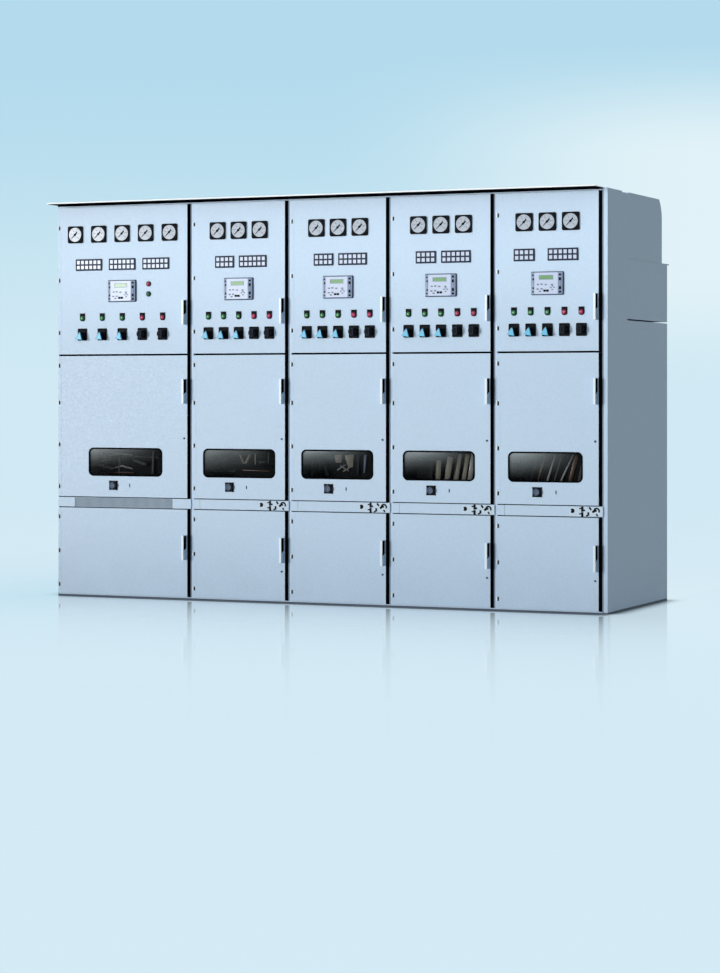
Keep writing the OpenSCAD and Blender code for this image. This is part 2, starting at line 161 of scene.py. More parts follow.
def on_leaf(leaf, across, up):
    """A point on a door's face, from its shares of the width and the height."""
    return Vector(
        (leaf.low.x + across * leaf.size.x, FACE_Y, leaf.low.z + up * leaf.size.z)
    )


# ---- sizes and colours that a user would change ----


def tone(red, green, blue):
    """A colour as a paint chart gives it, 0 to 255, as Blender's linear colour."""
    shares = [c / 255 for c in (red, green, blue)]
    return tuple(c / 12.92 if c <= 0.04045 else ((c + 0.055) / 1.055) ** 2.4 for c in shares)


def colour(name, description, red, green, blue):
    return bpy.props.FloatVectorProperty(
        name=name,
        description=description,
        subtype="COLOR",
        size=3,
        min=0.0,
        max=1.0,
        default=tone(red, green, blue),
    )


def length(name, description, millimetres):
    return bpy.props.FloatProperty(
        name=name,
        description=description,
        unit="LENGTH",
        min=0.0,
        default=millimetres * MM,
    )


def share(name, description, default):
    return bpy.props.FloatProperty(
        name=name, description=description, min=0.0, max=4.0, default=default, subtype="FACTOR"
    )


class SwitchgearColours(bpy.types.PropertyGroup):
    """Colours of the paint, mouldings, lenses and plates."""

    paint: colour("Cabinet paint", "Powder coat of the doors and sheets", 188, 213, 236)
    # The lighter edge paint is a painted highlight along folded and cut edges
    paint_edge: colour("Rubbed edges", "Paint along folded and cut edges", 222, 238, 250)
    dust: colour("Deck dust", "Dust that settles near the floor", 150, 160, 165)
    # Painted highlight: whiter than the cabinet paint, for the handles' lit fronts, the hinge knuckles
    # and the frame's hinge arms
    handle: colour("Handle front", "Front of the door handles", 232, 246, 251)
    black: colour("Black moulding", "Bezels, switch plates and shields", 11, 14, 20)
    # Black of the real window gaskets; the same black is painted shade under the canopy, in the door
    # gaps, on the latch-side returns and behind the grille
    rubber: colour("Rubber", "Window gaskets, door seals and the canopy's lining", 9, 11, 15)
    dial: colour("Dial", "Face of the panel meters", 168, 180, 194)
    dial_marks: colour("Dial marks", "Figures and graduations", 34, 42, 54)
    slate: colour("Annunciator frame", "Frame round the alarm windows", 34, 45, 68)
    alarm_window: colour("Alarm window", "Unlit windows of the annunciators", 190, 203, 224)
    bezel: colour("Controller bezel", "Outer frame of the controllers", 128, 146, 176)
    panel: colour("Controller face", "Inner face of the controllers", 190, 205, 230)
    screen: colour("Controller screen", "Backlit display", 96, 150, 92)
    keys: colour("Controller keys", "Keys and small labels", 98, 112, 140)
    # The pale lens colours fill each lens's centre: a painted highlight on the dome; the rims keep the
    # darker colours
    green_lens: colour("Green lens", "Signal lamps for healthy states", 132, 186, 132)
    green_rim: colour("Green rim", "Rim of the green lenses", 24, 104, 56)
    red_lens: colour("Red lens", "Signal lamps for alarms", 196, 84, 118)
    red_rim: colour("Red rim", "Rim of the red lenses", 146, 34, 74)
    dark_green: colour("Large green lens", "Larger lamp beside a controller", 20, 92, 62)
    dark_red: colour("Large red lens", "Larger lamp beside a controller", 152, 40, 70)
    grip: colour("Blue grip", "Grips of the first three cam switches", 86, 188, 226)
    # This dark also makes the plate beside each knuckle, a painted shadow
    hinge: colour("Hinge steel", "Blackened pins and knuckles", 16, 20, 28)
    grille: colour("Grille", "Slats of the ventilation grille", 192, 212, 230)
    plate: colour("Interlock plate", "Thin plates beside the interlocks", 204, 224, 240)
    # Painted shade: grey strips along the posts' left edges stand in for the doors' shadow on the posts
    lip: colour("Post lips", "Lips where the doors close on the posts", 116, 132, 150)
    # Painted shade: the rail's dark colour stands in for the shade at the row's foot
    plinth: colour("Plinth", "Rail under the doors", 92, 104, 120)
    # Painted highlight: the whole canopy takes this near-white paint for its lit front fold
    canopy: colour("Canopy fold", "Folded edges of the drip canopy", 240, 248, 252)
    barrel: colour("Lock barrel", "Barrels of the locks and key dots", 76, 92, 116)
    breaker: colour("Breaker steel", "Carriage and mechanism of the breakers", 34, 37, 38)
    bracket: colour("Brackets", "Grey brackets on the breakers' fronts", 112, 116, 114)
    insulator: colour("Insulation", "Poles and shrouds of the breakers", 124, 88, 70)
    link: colour("Sleeved links", "Sleeves of the breaker's links", 196, 200, 200)
    strip: colour("Barrier strips", "Pale barrier strips in the breakers", 188, 184, 168)
    # Painted reflection: the pale layer on the panes, brightest at their upper left
    film: colour("Window film", "Dusty film near a window's top", 206, 220, 224)


class DoorSizes(bpy.types.PropertyGroup):
    """Sizes of the door leaves and their furniture."""

    sheet: length("Sheet", "Thickness of a door's front sheet", 2.5)
    edge: length("Edge", "Rounding of folded edges", 1.4)
    groove_inset: length("Fold line inset", "From a door's left edge to its fold line", 16)
    groove: length("Fold line", "Width of the fold line", 1.2)
    grip_recess: length("Finger recess", "Depth of the recess in a handle's side", 11)
    gasket: length("Gasket", "Width of the rubber round a window", 8)
    lock_plate: length("Lock plate", "Side of the lock plate under a window", 52)
    key_dot: length("Key dot", "Diameter of the small door locks", 11)


class InstrumentSizes(bpy.types.PropertyGroup):
    """Sizes of the meters, alarms, lamps and switches."""

    bezel_corner: length("Bezel corner", "Radius of a meter's corners", 9)
    dial: length("Dial", "Diameter of a meter's dial", 78)
    lens: length("Lens", "Diameter of a signal lamp's lens", 24)
    grip_width: length("Grip width", "Width of a cam switch's grip at its foot", 44)
    grip_height: length("Grip height", "Height of a cam switch's grip", 44)
    knob: length("Round knob", "Diameter of a round cam switch's knob", 42)


class StageSettings(bpy.types.PropertyGroup):
    """Light, floor, backdrop and camera."""

    floor: colour("Floor", "Pale floor", 213, 235, 246)
    horizon: colour("Horizon", "Backdrop near the floor", 208, 233, 244)
    sky: colour("Backdrop top", "Backdrop above the row", 180, 219, 237)
    glow: colour("Backdrop glow", "Brighter side of the backdrop", 225, 242, 248)
    front_light: share("Front light", "Share of the level light from the front left", 0.53)
    top_light: share("Top light", "Share of the lamp over the front", 0.06)
    door_light: share("Door light", "Strength of the narrow lamp on the upper doors", 0.010)
    ambient: share("Ambient", "Share of the light from all round", 0.235)
    reflection: share("Reflection", "Gloss of the floor along the base", 0.80)
    focal_length: bpy.props.FloatProperty(
        name="Focal length",
        description="Focal length of the camera",
        subtype="DISTANCE_CAMERA",
        default=95.94,
    )
    camera_place: bpy.props.FloatVectorProperty(
        name="Camera place",
        description="Where the camera stands",
        subtype="XYZ",
        unit="LENGTH",
        size=3,
        default=(5.8592, -13.302, 1.143),
    )
    camera_turn: bpy.props.FloatProperty(
        name="Camera turn",
        description="How far the camera looks to the left of straight ahead",
        subtype="ANGLE",
        unit="ROTATION",
        default=radians(23.68),
    )
    camera_drop: bpy.props.FloatProperty(
        name="Camera shift", description="Downward shift of the lens", default=-0.0952
    )


# ---- the workshop: selecting, shaping and handing over a piece ----


def deselect():
    bpy.ops.object.select_all(action="DESELECT")


def only(*pieces):
    """Makes these pieces the selection, and the last of them active."""
    deselect()
    for piece in pieces:
        piece.select_set(True)
    bpy.context.view_layer.objects.active = pieces[-1]


def seat(piece):
    """Puts a piece's place, turn and scale into its mesh."""
    only(piece)
    bpy.ops.object.transform_apply(location=True, rotation=True, scale=True)
    return piece


def block(low, high, finish=None):
    """A square block from its lowest to its highest corner."""
    low, high = Vector(low), Vector(high)
    deselect()
    bpy.ops.mesh.primitive_cube_add(size=1, location=(low + high) / 2, scale=high - low)
    piece = seat(bpy.context.object)
    if finish:
        piece.data.materials.append(finish)
    return piece


def drum(middle, radius, depth, sides, finish=None):
    """A drum whose axis points out of the doors."""
    deselect()
    bpy.ops.mesh.primitive_cylinder_add(
        vertices=sides, radius=radius, depth=depth, location=middle, rotation=(pi / 2, 0, 0)
    )
    piece = seat(bpy.context.object)
    if finish:
        piece.data.materials.append(finish)
    return piece


def pick(piece, kind, elements, test):
    """Opens a piece in edit mode with only the elements that pass the test selected."""
    only(piece)
    bpy.ops.object.mode_set(mode="EDIT")
    bpy.ops.mesh.select_mode(type=kind)
    bpy.ops.mesh.select_all(action="DESELECT")
    bpy.ops.object.mode_set(mode="OBJECT")
    for element in getattr(piece.data, elements):
        element.select = bool(test(element))
    bpy.ops.object.mode_set(mode="EDIT")


def pick_faces(piece, test):
    pick(piece, "FACE", "polygons", test)


def pick_edges(piece, test):
    """The test takes the places of an edge's two ends."""
    corners = piece.data.vertices
    pick(piece, "EDGE", "edges", lambda edge: test(*(corners[i].co for i in edge.vertices)))


def pick_corners(piece, test):
    """The test takes a corner's place."""
    pick(piece, "VERT", "vertices", lambda corner: test(corner.co))


def nudge(across=0.0, out=0.0, up=0.0):
    """Moves what is selected; a negative step out is towards the viewer."""
    bpy.ops.transform.translate(value=(across, out, up), orient_type="GLOBAL")


def extrude(across=0.0, out=0.0, up=0.0):
    """Draws the selected faces out by a step, with new sides behind them."""
    bpy.ops.mesh.extrude_region_move(
        TRANSFORM_OT_translate={"value": (across, out, up), "orient_type": "GLOBAL"}
    )


def inset(rim, depth=0.0):
    """Shrinks the selected faces within a rim; a positive depth raises them."""
    bpy.ops.mesh.inset(thickness=rim, depth=depth)


def close(piece, finish=None):
    """Leaves edit mode; the faces still selected take the finish."""
    bpy.ops.object.mode_set(mode="OBJECT")
    return dress(piece, lambda face: face.select, finish) if finish else piece


def dress(piece, test, finish):
    """Gives a finish to the faces that pass the test."""
    slot = finish_slot(piece, finish)
    for face in piece.data.polygons:
        if test(face):
            face.material_index = slot
    return piece


def finish_slot(piece, finish):
    names = [m.name for m in piece.data.materials]
    if finish.name not in names:
        piece.data.materials.append(finish)
        names.append(finish.name)
    return names.index(finish.name)


def front(face):
    return face.normal.y < -0.99


def back(face):
    return face.normal.y > 0.99


def upward(face):
    return face.normal.z > 0.9


def downward(face):
    return face.normal.z < -0.9


def facing_right(face):
    return face.normal.x > 0.99


def every(face):
    return True


def sink(piece, test, rim, depth, finish=None):
    """Insets the faces that pass the test by a rim and pushes them in; a negative depth raises them."""
    pick_faces(piece, test)
    inset(rim)
    extrude(out=depth)
    return close(piece, finish)


def round_corners(piece, radius, segments=5, test=lambda a, b: True):
    """Rounds the edges that run from front to back."""

    def runs_back(a, b):
        return max(abs(a.x - b.x), abs(a.z - b.z)) < NEAR and test(a, b)

    pick_edges(piece, runs_back)
    bpy.ops.mesh.bevel(offset=radius, segments=segments, profile=0.5, affect="EDGES")
    return close(piece)


def modify(piece, kind, **settings):
    """Adds a modifier with these settings and applies it."""
    only(piece)
    bpy.ops.object.modifier_add(type=kind)
    modifier = piece.modifiers[-1]
    for name, value in settings.items():
        setattr(modifier, name, value)
    bpy.ops.object.modifier_apply(modifier=modifier.name)
    return piece


def break_edges(piece, width, segments=2, finish=None):
    """Rounds all sharp edges a little; the rounding may take a finish of its own."""
    slot = finish_slot(piece, finish) if finish else -1
    return modify(
        piece,
        "BEVEL",
        width=width,
        segments=segments,
        limit_method="ANGLE",
        angle_limit=radians(38),
        material=slot,
    )


def smooth(piece, degrees=35):
    only(piece)
    bpy.ops.object.shade_smooth_by_angle(angle=radians(degrees))
    return piece


def cut_away(piece, cutter):
    """Takes the cutter's shape out of a piece and throws the cutter away."""
    modify(piece, "BOOLEAN", object=cutter, operation="DIFFERENCE", solver="EXACT")
    scrap(cutter)
    return piece


def scrap(*pieces):
    """Deletes pieces that were only needed as patterns."""
    only(*pieces)
    bpy.ops.object.delete()


def joined(*pieces):
    """One piece from several, the last of which it grows from."""
    only(*pieces)
    if len(pieces) > 1:
        bpy.ops.object.join()
    return bpy.context.object


def copy_at(master, place, turn=0.0):
    """A copy with its own mesh, turned about the axis out of the doors."""
    only(master)
    bpy.ops.object.duplicate(linked=False)
    twin = bpy.context.object
    twin.rotation_euler.y = turn
    twin.location = place
    return seat(twin)


def copies(master, places):
    """Copies of a master at the places, as one piece; the master is thrown away."""
    made = [copy_at(master, place) for place in places]
    scrap(master)
    return joined(*made)


def hand_over(piece, name, body, slot, *nodes):
    """Names a finished piece, ties it to its body and hides the nodes that it stands for; the slot is not
    used.
    """
    piece.name = piece.data.name = name
    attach(piece, body)
    if nodes:
        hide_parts(*nodes)
    return piece


def folded_copy(node, name, body, slot, coat, edge_coat, edge=0.8 * MM):
    """A copy of a frame node in flat faces with broken edges, which stands for the node."""
    piece = bpy.data.objects.new(name, frame["nodes"][node].data.copy())
    bpy.context.collection.objects.link(piece)
    only(piece)
    bpy.ops.mesh.customdata_custom_splitnormals_clear()
    piece.data.materials.clear()
    piece.data.materials.append(coat)
    bpy.ops.object.mode_set(mode="EDIT")
    bpy.ops.mesh.select_all(action="SELECT")
    bpy.ops.mesh.remove_doubles(threshold=0.01 * MM)
    bpy.ops.mesh.dissolve_limited(angle_limit=radians(1))
    bpy.ops.mesh.faces_shade_flat()
    bpy.ops.object.mode_set(mode="OBJECT")
    break_edges(piece, edge, 2, edge_coat)
    return hand_over(piece, name, body, slot, node)


# ---- finishes ----


def put(tree, kind, **inputs):
    """Adds a shader node whose named inputs take a number, a colour or another node's socket."""
    node = tree.nodes.new(kind)
    for name, value in inputs.items():
        wire(tree, value, node.inputs[name.replace("_", " ")])
    return node


def wire(tree, value, socket):
    if isinstance(value, bpy.types.NodeSocket):
        tree.links.new(value, socket)
    elif hasattr(value, "__len__") and len(value) == 3 and socket.type == "RGBA":
        socket.default_value = (*value, 1.0)
    else:
        socket.default_value = value


def calc(tree, operation, *values, clamp=False):
    node = tree.nodes.new("ShaderNodeMath")
    node.operation = operation
    node.use_clamp = clamp
    for socket, value in zip(node.inputs, values):
        wire(tree, value, socket)
    return node.outputs[0]


def blend_colours(tree, factor, first, second):
    node = tree.nodes.new("ShaderNodeMix")
    node.data_type = "RGBA"
    wire(tree, factor, node.inputs["Factor"])
    wire(tree, first, node.inputs[6])
    wire(tree, second, node.inputs[7])
    return node.outputs[2]


def spread(tree, value, low, high, to_low=0.0, to_high=1.0):
    """Maps a value from one range to another along a soft curve."""
    node = put(
        tree,
        "ShaderNodeMapRange",
        Value=value,
        From_Min=low,
        From_Max=high,
        To_Min=to_low,
        To_Max=to_high,
    )
    node.interpolation_type = "SMOOTHSTEP"
    return node.outputs["Result"]


def noise(tree, vector, scale, detail=2.0, roughness=0.55):
    node = put(
        tree, "ShaderNodeTexNoise", Vector=vector, Scale=scale, Detail=detail, Roughness=roughness
    )
    return node.outputs["Fac"]


def effect(name, inputs, outputs):
    """A shader node group with named inputs and outputs, made once."""
    tree = bpy.data.node_groups.new(name, "ShaderNodeTree")
    for label, default in inputs.items():
        kind = "NodeSocketColor" if hasattr(default, "__len__") else "NodeSocketFloat"
        socket = tree.interface.new_socket(label, in_out="INPUT", socket_type=kind)
        socket.default_value = (*default, 1.0) if kind == "NodeSocketColor" else default
    for label in outputs:
        kind = "NodeSocketColor" if label == "Colour" else "NodeSocketFloat"
        tree.interface.new_socket(label, in_out="OUTPUT", socket_type=kind)
    return tree, tree.nodes.new("NodeGroupInput").outputs, tree.nodes.new("NodeGroupOutput").inputs


def powder_grain():
    """Speckle, slow clouding and orange peel of a sprayed or moulded surface."""
    tree, given, made = effect(
        "Powder Grain",
        {
            "Colour": (0.8, 0.8, 0.8),
            "Roughness": 0.5,
            "Grain Size": 0.003,
            "Speckle": 0.05,
            "Clouding": 0.04,
        },
        ("Colour", "Roughness", "Height"),
    )
    place = put(tree, "ShaderNodeTexCoord").outputs["Object"]
    per_metre = calc(tree, "DIVIDE", 1.0, given["Grain Size"])
    grain = noise(tree, place, per_metre, 2.0, 0.6)
    peel = noise(tree, place, calc(tree, "MULTIPLY", per_metre, 0.35), 1.0)
    cloud = noise(tree, place, 1.7, 3.0)
    speckle = calc(tree, "MULTIPLY", calc(tree, "SUBTRACT", grain, 0.5), given["Speckle"])
    clouding = calc(tree, "MULTIPLY", calc(tree, "SUBTRACT", cloud, 0.5), given["Clouding"])
    light = calc(tree, "ADD", speckle, clouding)
    scale = put(tree, "ShaderNodeVectorMath")
    scale.operation = "SCALE"
    wire(tree, given["Colour"], scale.inputs[0])
    wire(tree, calc(tree, "ADD", 1.0, light), scale.inputs["Scale"])
    wire(tree, scale.outputs[0], made["Colour"])
    uneven = calc(tree, "MULTIPLY", calc(tree, "SUBTRACT", peel, 0.5), 0.25)
    wire(tree, calc(tree, "ADD", given["Roughness"], uneven, clamp=True), made["Roughness"])
    wire(tree, calc(tree, "ADD", grain, peel), made["Height"])
    return tree


def deck_dust():
    """Dust that thins out with the height above the deck."""
    tree, given, made = effect(
        "Deck Dust",
        {
            "Colour": (0.8, 0.8, 0.8),
            "Roughness": 0.5,
            "Dust": (0.4, 0.4, 0.4),
            "Reach": 0.5,
            "Amount": 0.3,
        },
        ("Colour", "Roughness"),
    )
    place = put(tree, "ShaderNodeTexCoord").outputs["Object"]
    height = put(tree, "ShaderNodeSeparateXYZ", Vector=place).outputs["Z"]
    patches = noise(tree, place, 9.0, 4.0, 0.65)
    low = calc(tree, "SUBTRACT", 1.0, spread(tree, height, 0.0, given["Reach"]))
    mask = calc(tree, "MULTIPLY", low, spread(tree, patches, 0.3, 0.8), clamp=True)
    mask = calc(tree, "MULTIPLY", mask, given["Amount"])
    wire(tree, blend_colours(tree, mask, given["Colour"], given["Dust"]), made["Colour"])
    dull = calc(tree, "MULTIPLY", mask, 0.4)
    wire(tree, calc(tree, "ADD", given["Roughness"], dull, clamp=True), made["Roughness"])
    return tree


def rubbed_edge():
    """Lighter paint in patches along an edge: a painted highlight, and thin paint that hands and cloths
    have polished in places.
    """
    tree, given, made = effect(
        "Rubbed Edge",
        {
            "Colour": (0.8, 0.8, 0.8),
            "Rubbed": (0.9, 0.9, 0.9),
            "Roughness": 0.5,
            "Amount": 0.6,
        },
        ("Colour", "Roughness"),
    )
    place = put(tree, "ShaderNodeTexCoord").outputs["Object"]
    patches = spread(tree, noise(tree, place, 22.0, 3.0), 0.35, 0.65, 0.35, 1.0)
    mask = calc(tree, "MULTIPLY", patches, given["Amount"], clamp=True)
    wire(tree, blend_colours(tree, mask, given["Colour"], given["Rubbed"]), made["Colour"])
    polish = calc(tree, "MULTIPLY", mask, 0.15)
    wire(tree, calc(tree, "SUBTRACT", given["Roughness"], polish, clamp=True), made["Roughness"])
    return tree


def wiping_marks():
    """Broad faint strokes of a cloth, and the smear that it leaves; on the windows they break up the
    painted reflection.
    """
    tree, given, made = effect(
        "Wiping Marks", {"Low": 0.0, "High": 1.0, "Stroke": 9.0}, ("Mask",)
    )
    place = put(tree, "ShaderNodeTexCoord").outputs["Object"]
    turn, stretch = (0.0, radians(-35), 0.0), (0.35, 1, 1.6)
    slant = put(tree, "ShaderNodeMapping", Vector=place, Rotation=turn, Scale=stretch)
    strokes = noise(tree, slant.outputs["Vector"], given["Stroke"], 3.0, 0.6)
    wire(tree, spread(tree, strokes, 0.35, 0.75, given["Low"], given["High"]), made["Mask"])
    return tree


def group_in(tree, make, **inputs):
    """Places an effect in a material, and makes the effect if this is its first use."""
    label = make.__name__.replace("_", " ").title()
    shared = bpy.data.node_groups.get(label) or make()
    node = tree.nodes.new("ShaderNodeGroup")
    node.node_tree = shared
    for name, value in inputs.items():
        wire(tree, value, node.inputs[name.replace("_", " ")])
    return node.outputs


def coating(
    name,
    base,
    roughness,
    grain=3.0,
    speckle=0.05,
    clouding=0.04,
    relief=0.15,
    coat=0.0,
    dust=None,
    rubbed=None,
    glow=0.0,
    specular=0.5,
):
    """An opaque finish with grain, and where asked for with dust, a painted highlight along worn edges or
    a glow.

    The base, the dust and the edge highlight are names of colours in the settings.
    """
    known = bpy.data.materials.get(name)
    if known:
        return known
    hues = bpy.context.scene.switchgear_colours
    material = bpy.data.materials.new(name)
    material.use_nodes = True
    tree = material.node_tree
    shader = tree.nodes["Principled BSDF"]
    out = group_in(
        tree,
        powder_grain,
        Colour=getattr(hues, base),
        Roughness=roughness,
        Grain_Size=grain * MM,
        Speckle=speckle,
        Clouding=clouding,
    )
    body, gloss = out["Colour"], out["Roughness"]
    # Painted highlight: lighter paint in patches along the broken edges
    if rubbed:
        worn = group_in(
            tree, rubbed_edge, Colour=body, Rubbed=getattr(hues, rubbed), Roughness=gloss
        )
        body, gloss = worn["Colour"], worn["Roughness"]
    if dust:
        dusty = group_in(
            tree,
            deck_dust,
            Colour=body,
            Roughness=gloss,
            Dust=getattr(hues, dust),
            Reach=0.4,
            Amount=0.08,
        )
        body, gloss = dusty["Colour"], dusty["Roughness"]
    bump = put(tree, "ShaderNodeBump", Strength=relief, Distance=0.3 * MM, Height=out["Height"])
    wire(tree, body, shader.inputs["Base Color"])
    wire(tree, gloss, shader.inputs["Roughness"])
    wire(tree, bump.outputs["Normal"], shader.inputs["Normal"])
    shader.inputs["Coat Weight"].default_value = coat
    shader.inputs["Coat Roughness"].default_value = 0.12
    shader.inputs["Specular IOR Level"].default_value = specular
    if glow:
        wire(tree, body, shader.inputs["Emission Color"])
        shader.inputs["Emission Strength"].default_value = glow
    return material


def prepared(*choices, **settings):
    """A finish to be made when it is first called for; its grain is in millimetres."""
    return lambda: coating(*choices, **settings)


# Name, colour, roughness, size of the grain, speckle, clouding and relief
paint = prepared("cabinet_paint", "paint", 0.46, 5, 0.26, dust="dust")
# Lighter paint for broken edges, a painted highlight
paint_edge = prepared("cabinet_paint_edge", "paint", 0.42, 5, 0.10, rubbed="paint_edge")
plinth_paint = prepared("plinth_paint", "plinth", 0.55, 2, 0.2, 0.2, 0.1, specular=0.1)
canopy_highlight_paint = prepared("canopy_fold", "canopy", 0.45, 4, 0.05, 0.03, 0.05)
highlight_paint = prepared("handle_front", "handle", 0.35, 1.5, 0.03, 0.03, 0.08)
lip_shade_grey = prepared("post_lip", "lip", 0.55, 1.5, 0.1, 0.1, 0.06, specular=0.2)
black = prepared("black_moulding", "black", 0.5, 0.8, 0.3, 0.1, 0.10, specular=0.06)
# Real gasket black that also serves as painted shade
rubber = prepared("black_rubber", "rubber", 0.8, 1.2, 0.3, 0.2, 0.20, specular=0.0)
dial_white = prepared("dial_white", "dial", 0.45, 2.0, 0.04, 0.04, 0.02, coat=0.3)
dial_ink = prepared("dial_ink", "dial_marks", 0.5, 0.6, 0.10, 0.05, 0.02)
slate = prepared("annunciator_frame", "slate", 0.45, 1.2, 0.1, 0.06, 0.08, specular=0.15)
alarm_pane = prepared("alarm_window", "alarm_window", 0.35, 6.0, 0.08, 0.1, 0.03, coat=0.2)
bezel_grey = prepared("controller_bezel", "bezel", 0.40, 1.2, 0.06, 0.05, 0.08)
panel_pale = prepared("controller_face", "panel", 0.32, 2.0, 0.03, 0.05, 0.03)
screen = prepared("controller_screen", "screen", 0.3, 1.5, 0.10, 0.15, 0.01, coat=0.3)
key_grey = prepared("controller_keys", "keys", 0.45, 1.0, 0.06, 0.05, 0.06)
grip_blue = prepared("grip_blue", "grip", 0.36, 1.0, 0.05, 0.06, 0.06)
hinge_steel = prepared("blackened_steel", "hinge", 0.50, 1.0, 0.2, 0.2, 0.10, specular=0.1)
barrel_steel = prepared("lock_barrel", "barrel", 0.5, 0.8, 0.2, 0.2, 0.06, specular=0.2)
grille_steel = prepared("grille_steel", "grille", 0.50, 1.5, 0.10, 0.08, 0.06, specular=0.2)
plate_white = prepared("sign_plate", "plate", 0.50, 1.5, 0.03, 0.03, 0.03, specular=0.2)
breaker_steel = prepared("breaker_steel", "breaker", 0.6, 2.0, 0.15, 0.20, 0.10, specular=0.06)
bracket_grey = prepared("bracket_grey", "bracket", 0.5, 2.0, 0.15, 0.20, 0.10, specular=0.15)
insulator = prepared("insulator_brown", "insulator", 0.30, 3.0, 0.20, 0.25, 0.06)
sleeve_grey = prepared("sleeved_link", "link", 0.30, 2.0, 0.08, 0.10, 0.04)
strip_beige = prepared("barrier_strip", "strip", 0.42, 2.0, 0.10, 0.12, 0.05)


def lens(name, base):
    """Clear coloured plastic with a faint glow of its own."""
    return coating(name, base, 0.4, 2.5, 0.14, 0.1, 0.04, coat=0.1, glow=0.06, specular=0.2)


def window_glass():
    """Tinted pane, see-through by its alpha, with a pale layer where the pane's attribute says: a painted
    reflection.
    """
    name = "window_glass"
    known = bpy.data.materials.get(name)
    if known:
        return known
    material = bpy.data.materials.new(name)
    material.use_nodes = True
    material.surface_render_method = "BLENDED"
    tree = material.node_tree
    shader = tree.nodes["Principled BSDF"]
    weight = tree.nodes.new("ShaderNodeAttribute")
    weight.attribute_name = "film"
    marks = group_in(tree, wiping_marks, Low=0.75, High=1.1)["Mask"]
    film = calc(tree, "MULTIPLY", weight.outputs["Fac"], marks, clamp=True)
    tint, hue = 0.26, tone(5, 7, 9)
    whole = calc(tree, "ADD", film, tint, clamp=True)
    # Share of the painted reflection in the pane's colour
    dusty = calc(tree, "DIVIDE", film, whole, clamp=True)
    shown = blend_colours(tree, dusty, hue, bpy.context.scene.switchgear_colours.film)
    wire(tree, shown, shader.inputs["Base Color"])
    wire(tree, whole, shader.inputs["Alpha"])
    wire(tree, calc(tree, "MULTIPLY_ADD", film, 0.4, 0.06), shader.inputs["Roughness"])
    shader.inputs["Specular IOR Level"].default_value = 0.04
    return material


# ---- doors ----


def rounded_block(low, high, radius, segments=5, finish=None):
    """A block whose edges from front to back are rounded."""
    return round_corners(block(low, high, finish), radius, segments)


def window_of(k):
    """The opening in a middle door, which the pane laps behind the sheet all round."""
    pane = solids_of(f"window_{k}")[0]
    lap = Vector((12 * MM, 0, 12 * MM))
    return Solid([pane.low + lap, pane.high - lap])


def knuckles_of(leaf):
    """Feet of a door's own hinge knuckles, each above a knuckle of the frame."""
    gap = 0.5 * MM
    return [
        Vector((leaf.low.x - 1.5 * MM, FACE_Y, fixed.high.z + gap))
        for fixed in solids_of("frame_hinges")
        if abs(fixed.high.x - leaf.low.x) < 10 * MM and leaf.low.z < fixed.middle.z < leaf.high.z
    ]


def knuckle():
    """Half a hinge knuckle with a raised end, and a dark plate beside it that is a painted shadow."""
    radius, height = 3.8 * MM, 14 * MM
    deselect()
    bpy.ops.mesh.primitive_cylinder_add(
        vertices=20, radius=radius, depth=height, location=(0, 0, height / 2)
    )
    piece = seat(bpy.context.object)
    # Whiter paint on the knuckle: a painted highlight
    piece.data.materials.append(highlight_paint())
    pick_faces(piece, upward)
    inset(0.5 * MM)
    nudge(up=0.4 * MM)
    close(piece)
    # The dark plate beside the knuckle is a painted shadow
    shadow_flap = block((0.9 * MM, -1.4 * MM, -13 * MM), (10.8 * MM, 0.5 * MM, 8 * MM), hinge_steel())
    break_edges(shadow_flap, 0.4 * MM, 2)
    return smooth(joined(shadow_flap, piece))


def door_leaf(leaf, sizes):
    """A folded tray with a fold line down its hinge side."""
    piece = block(leaf.low, leaf.high, paint())
    sink(piece, back, sizes.sheet, sizes.sheet - leaf.size.y)
    line = leaf.low.x + sizes.groove_inset
    low = (line, FACE_Y - 1 * MM, leaf.low.z + 9 * MM)
    high = (line + sizes.groove, FACE_Y + 0.7 * MM, leaf.high.z - 9 * MM)
    return cut_away(piece, block(low, high))


def seal_latch(piece, leaf):
    """Paints a leaf's latch-side return black: painted shade in the slit beside the door."""
    at_latch = leaf.high.x - 0.1 * MM
    dress(piece, lambda face: face.normal.x > 0.9 and face.center.x > at_latch, rubber())


class SWITCHGEAR_OT_doors(bpy.types.Operator):
    """Folds the fifteen door leaves, cuts their windows and hangs their knuckles"""

    bl_idname = "switchgear.doors"
    bl_label = "Doors"

    def execute(self, context):
        sizes = context.scene.switchgear_doors
        for k in CUBICLES:
            for row in ROWS:
                door = f"{row}_door_{k}"
                leaf = leaf_of(door)
                piece = door_leaf(leaf, sizes)
                if row == "middle":
                    opening = window_of(k)
                    opening.low.y, opening.high.y = FACE_Y - 5 * MM, FACE_Y + 5 * MM
                    cut_away(piece, rounded_block(opening.low, opening.high, 30 * MM, 8))
                break_edges(piece, sizes.edge, 3, paint_edge())
                # Painted shade: black on the latch-side return
                seal_latch(piece, leaf)
                hung = copies(knuckle(), knuckles_of(leaf))
                hand_over(joined(hung, piece), f"{door}_leaf", door, "paint", door)
        return {"FINISHED"}


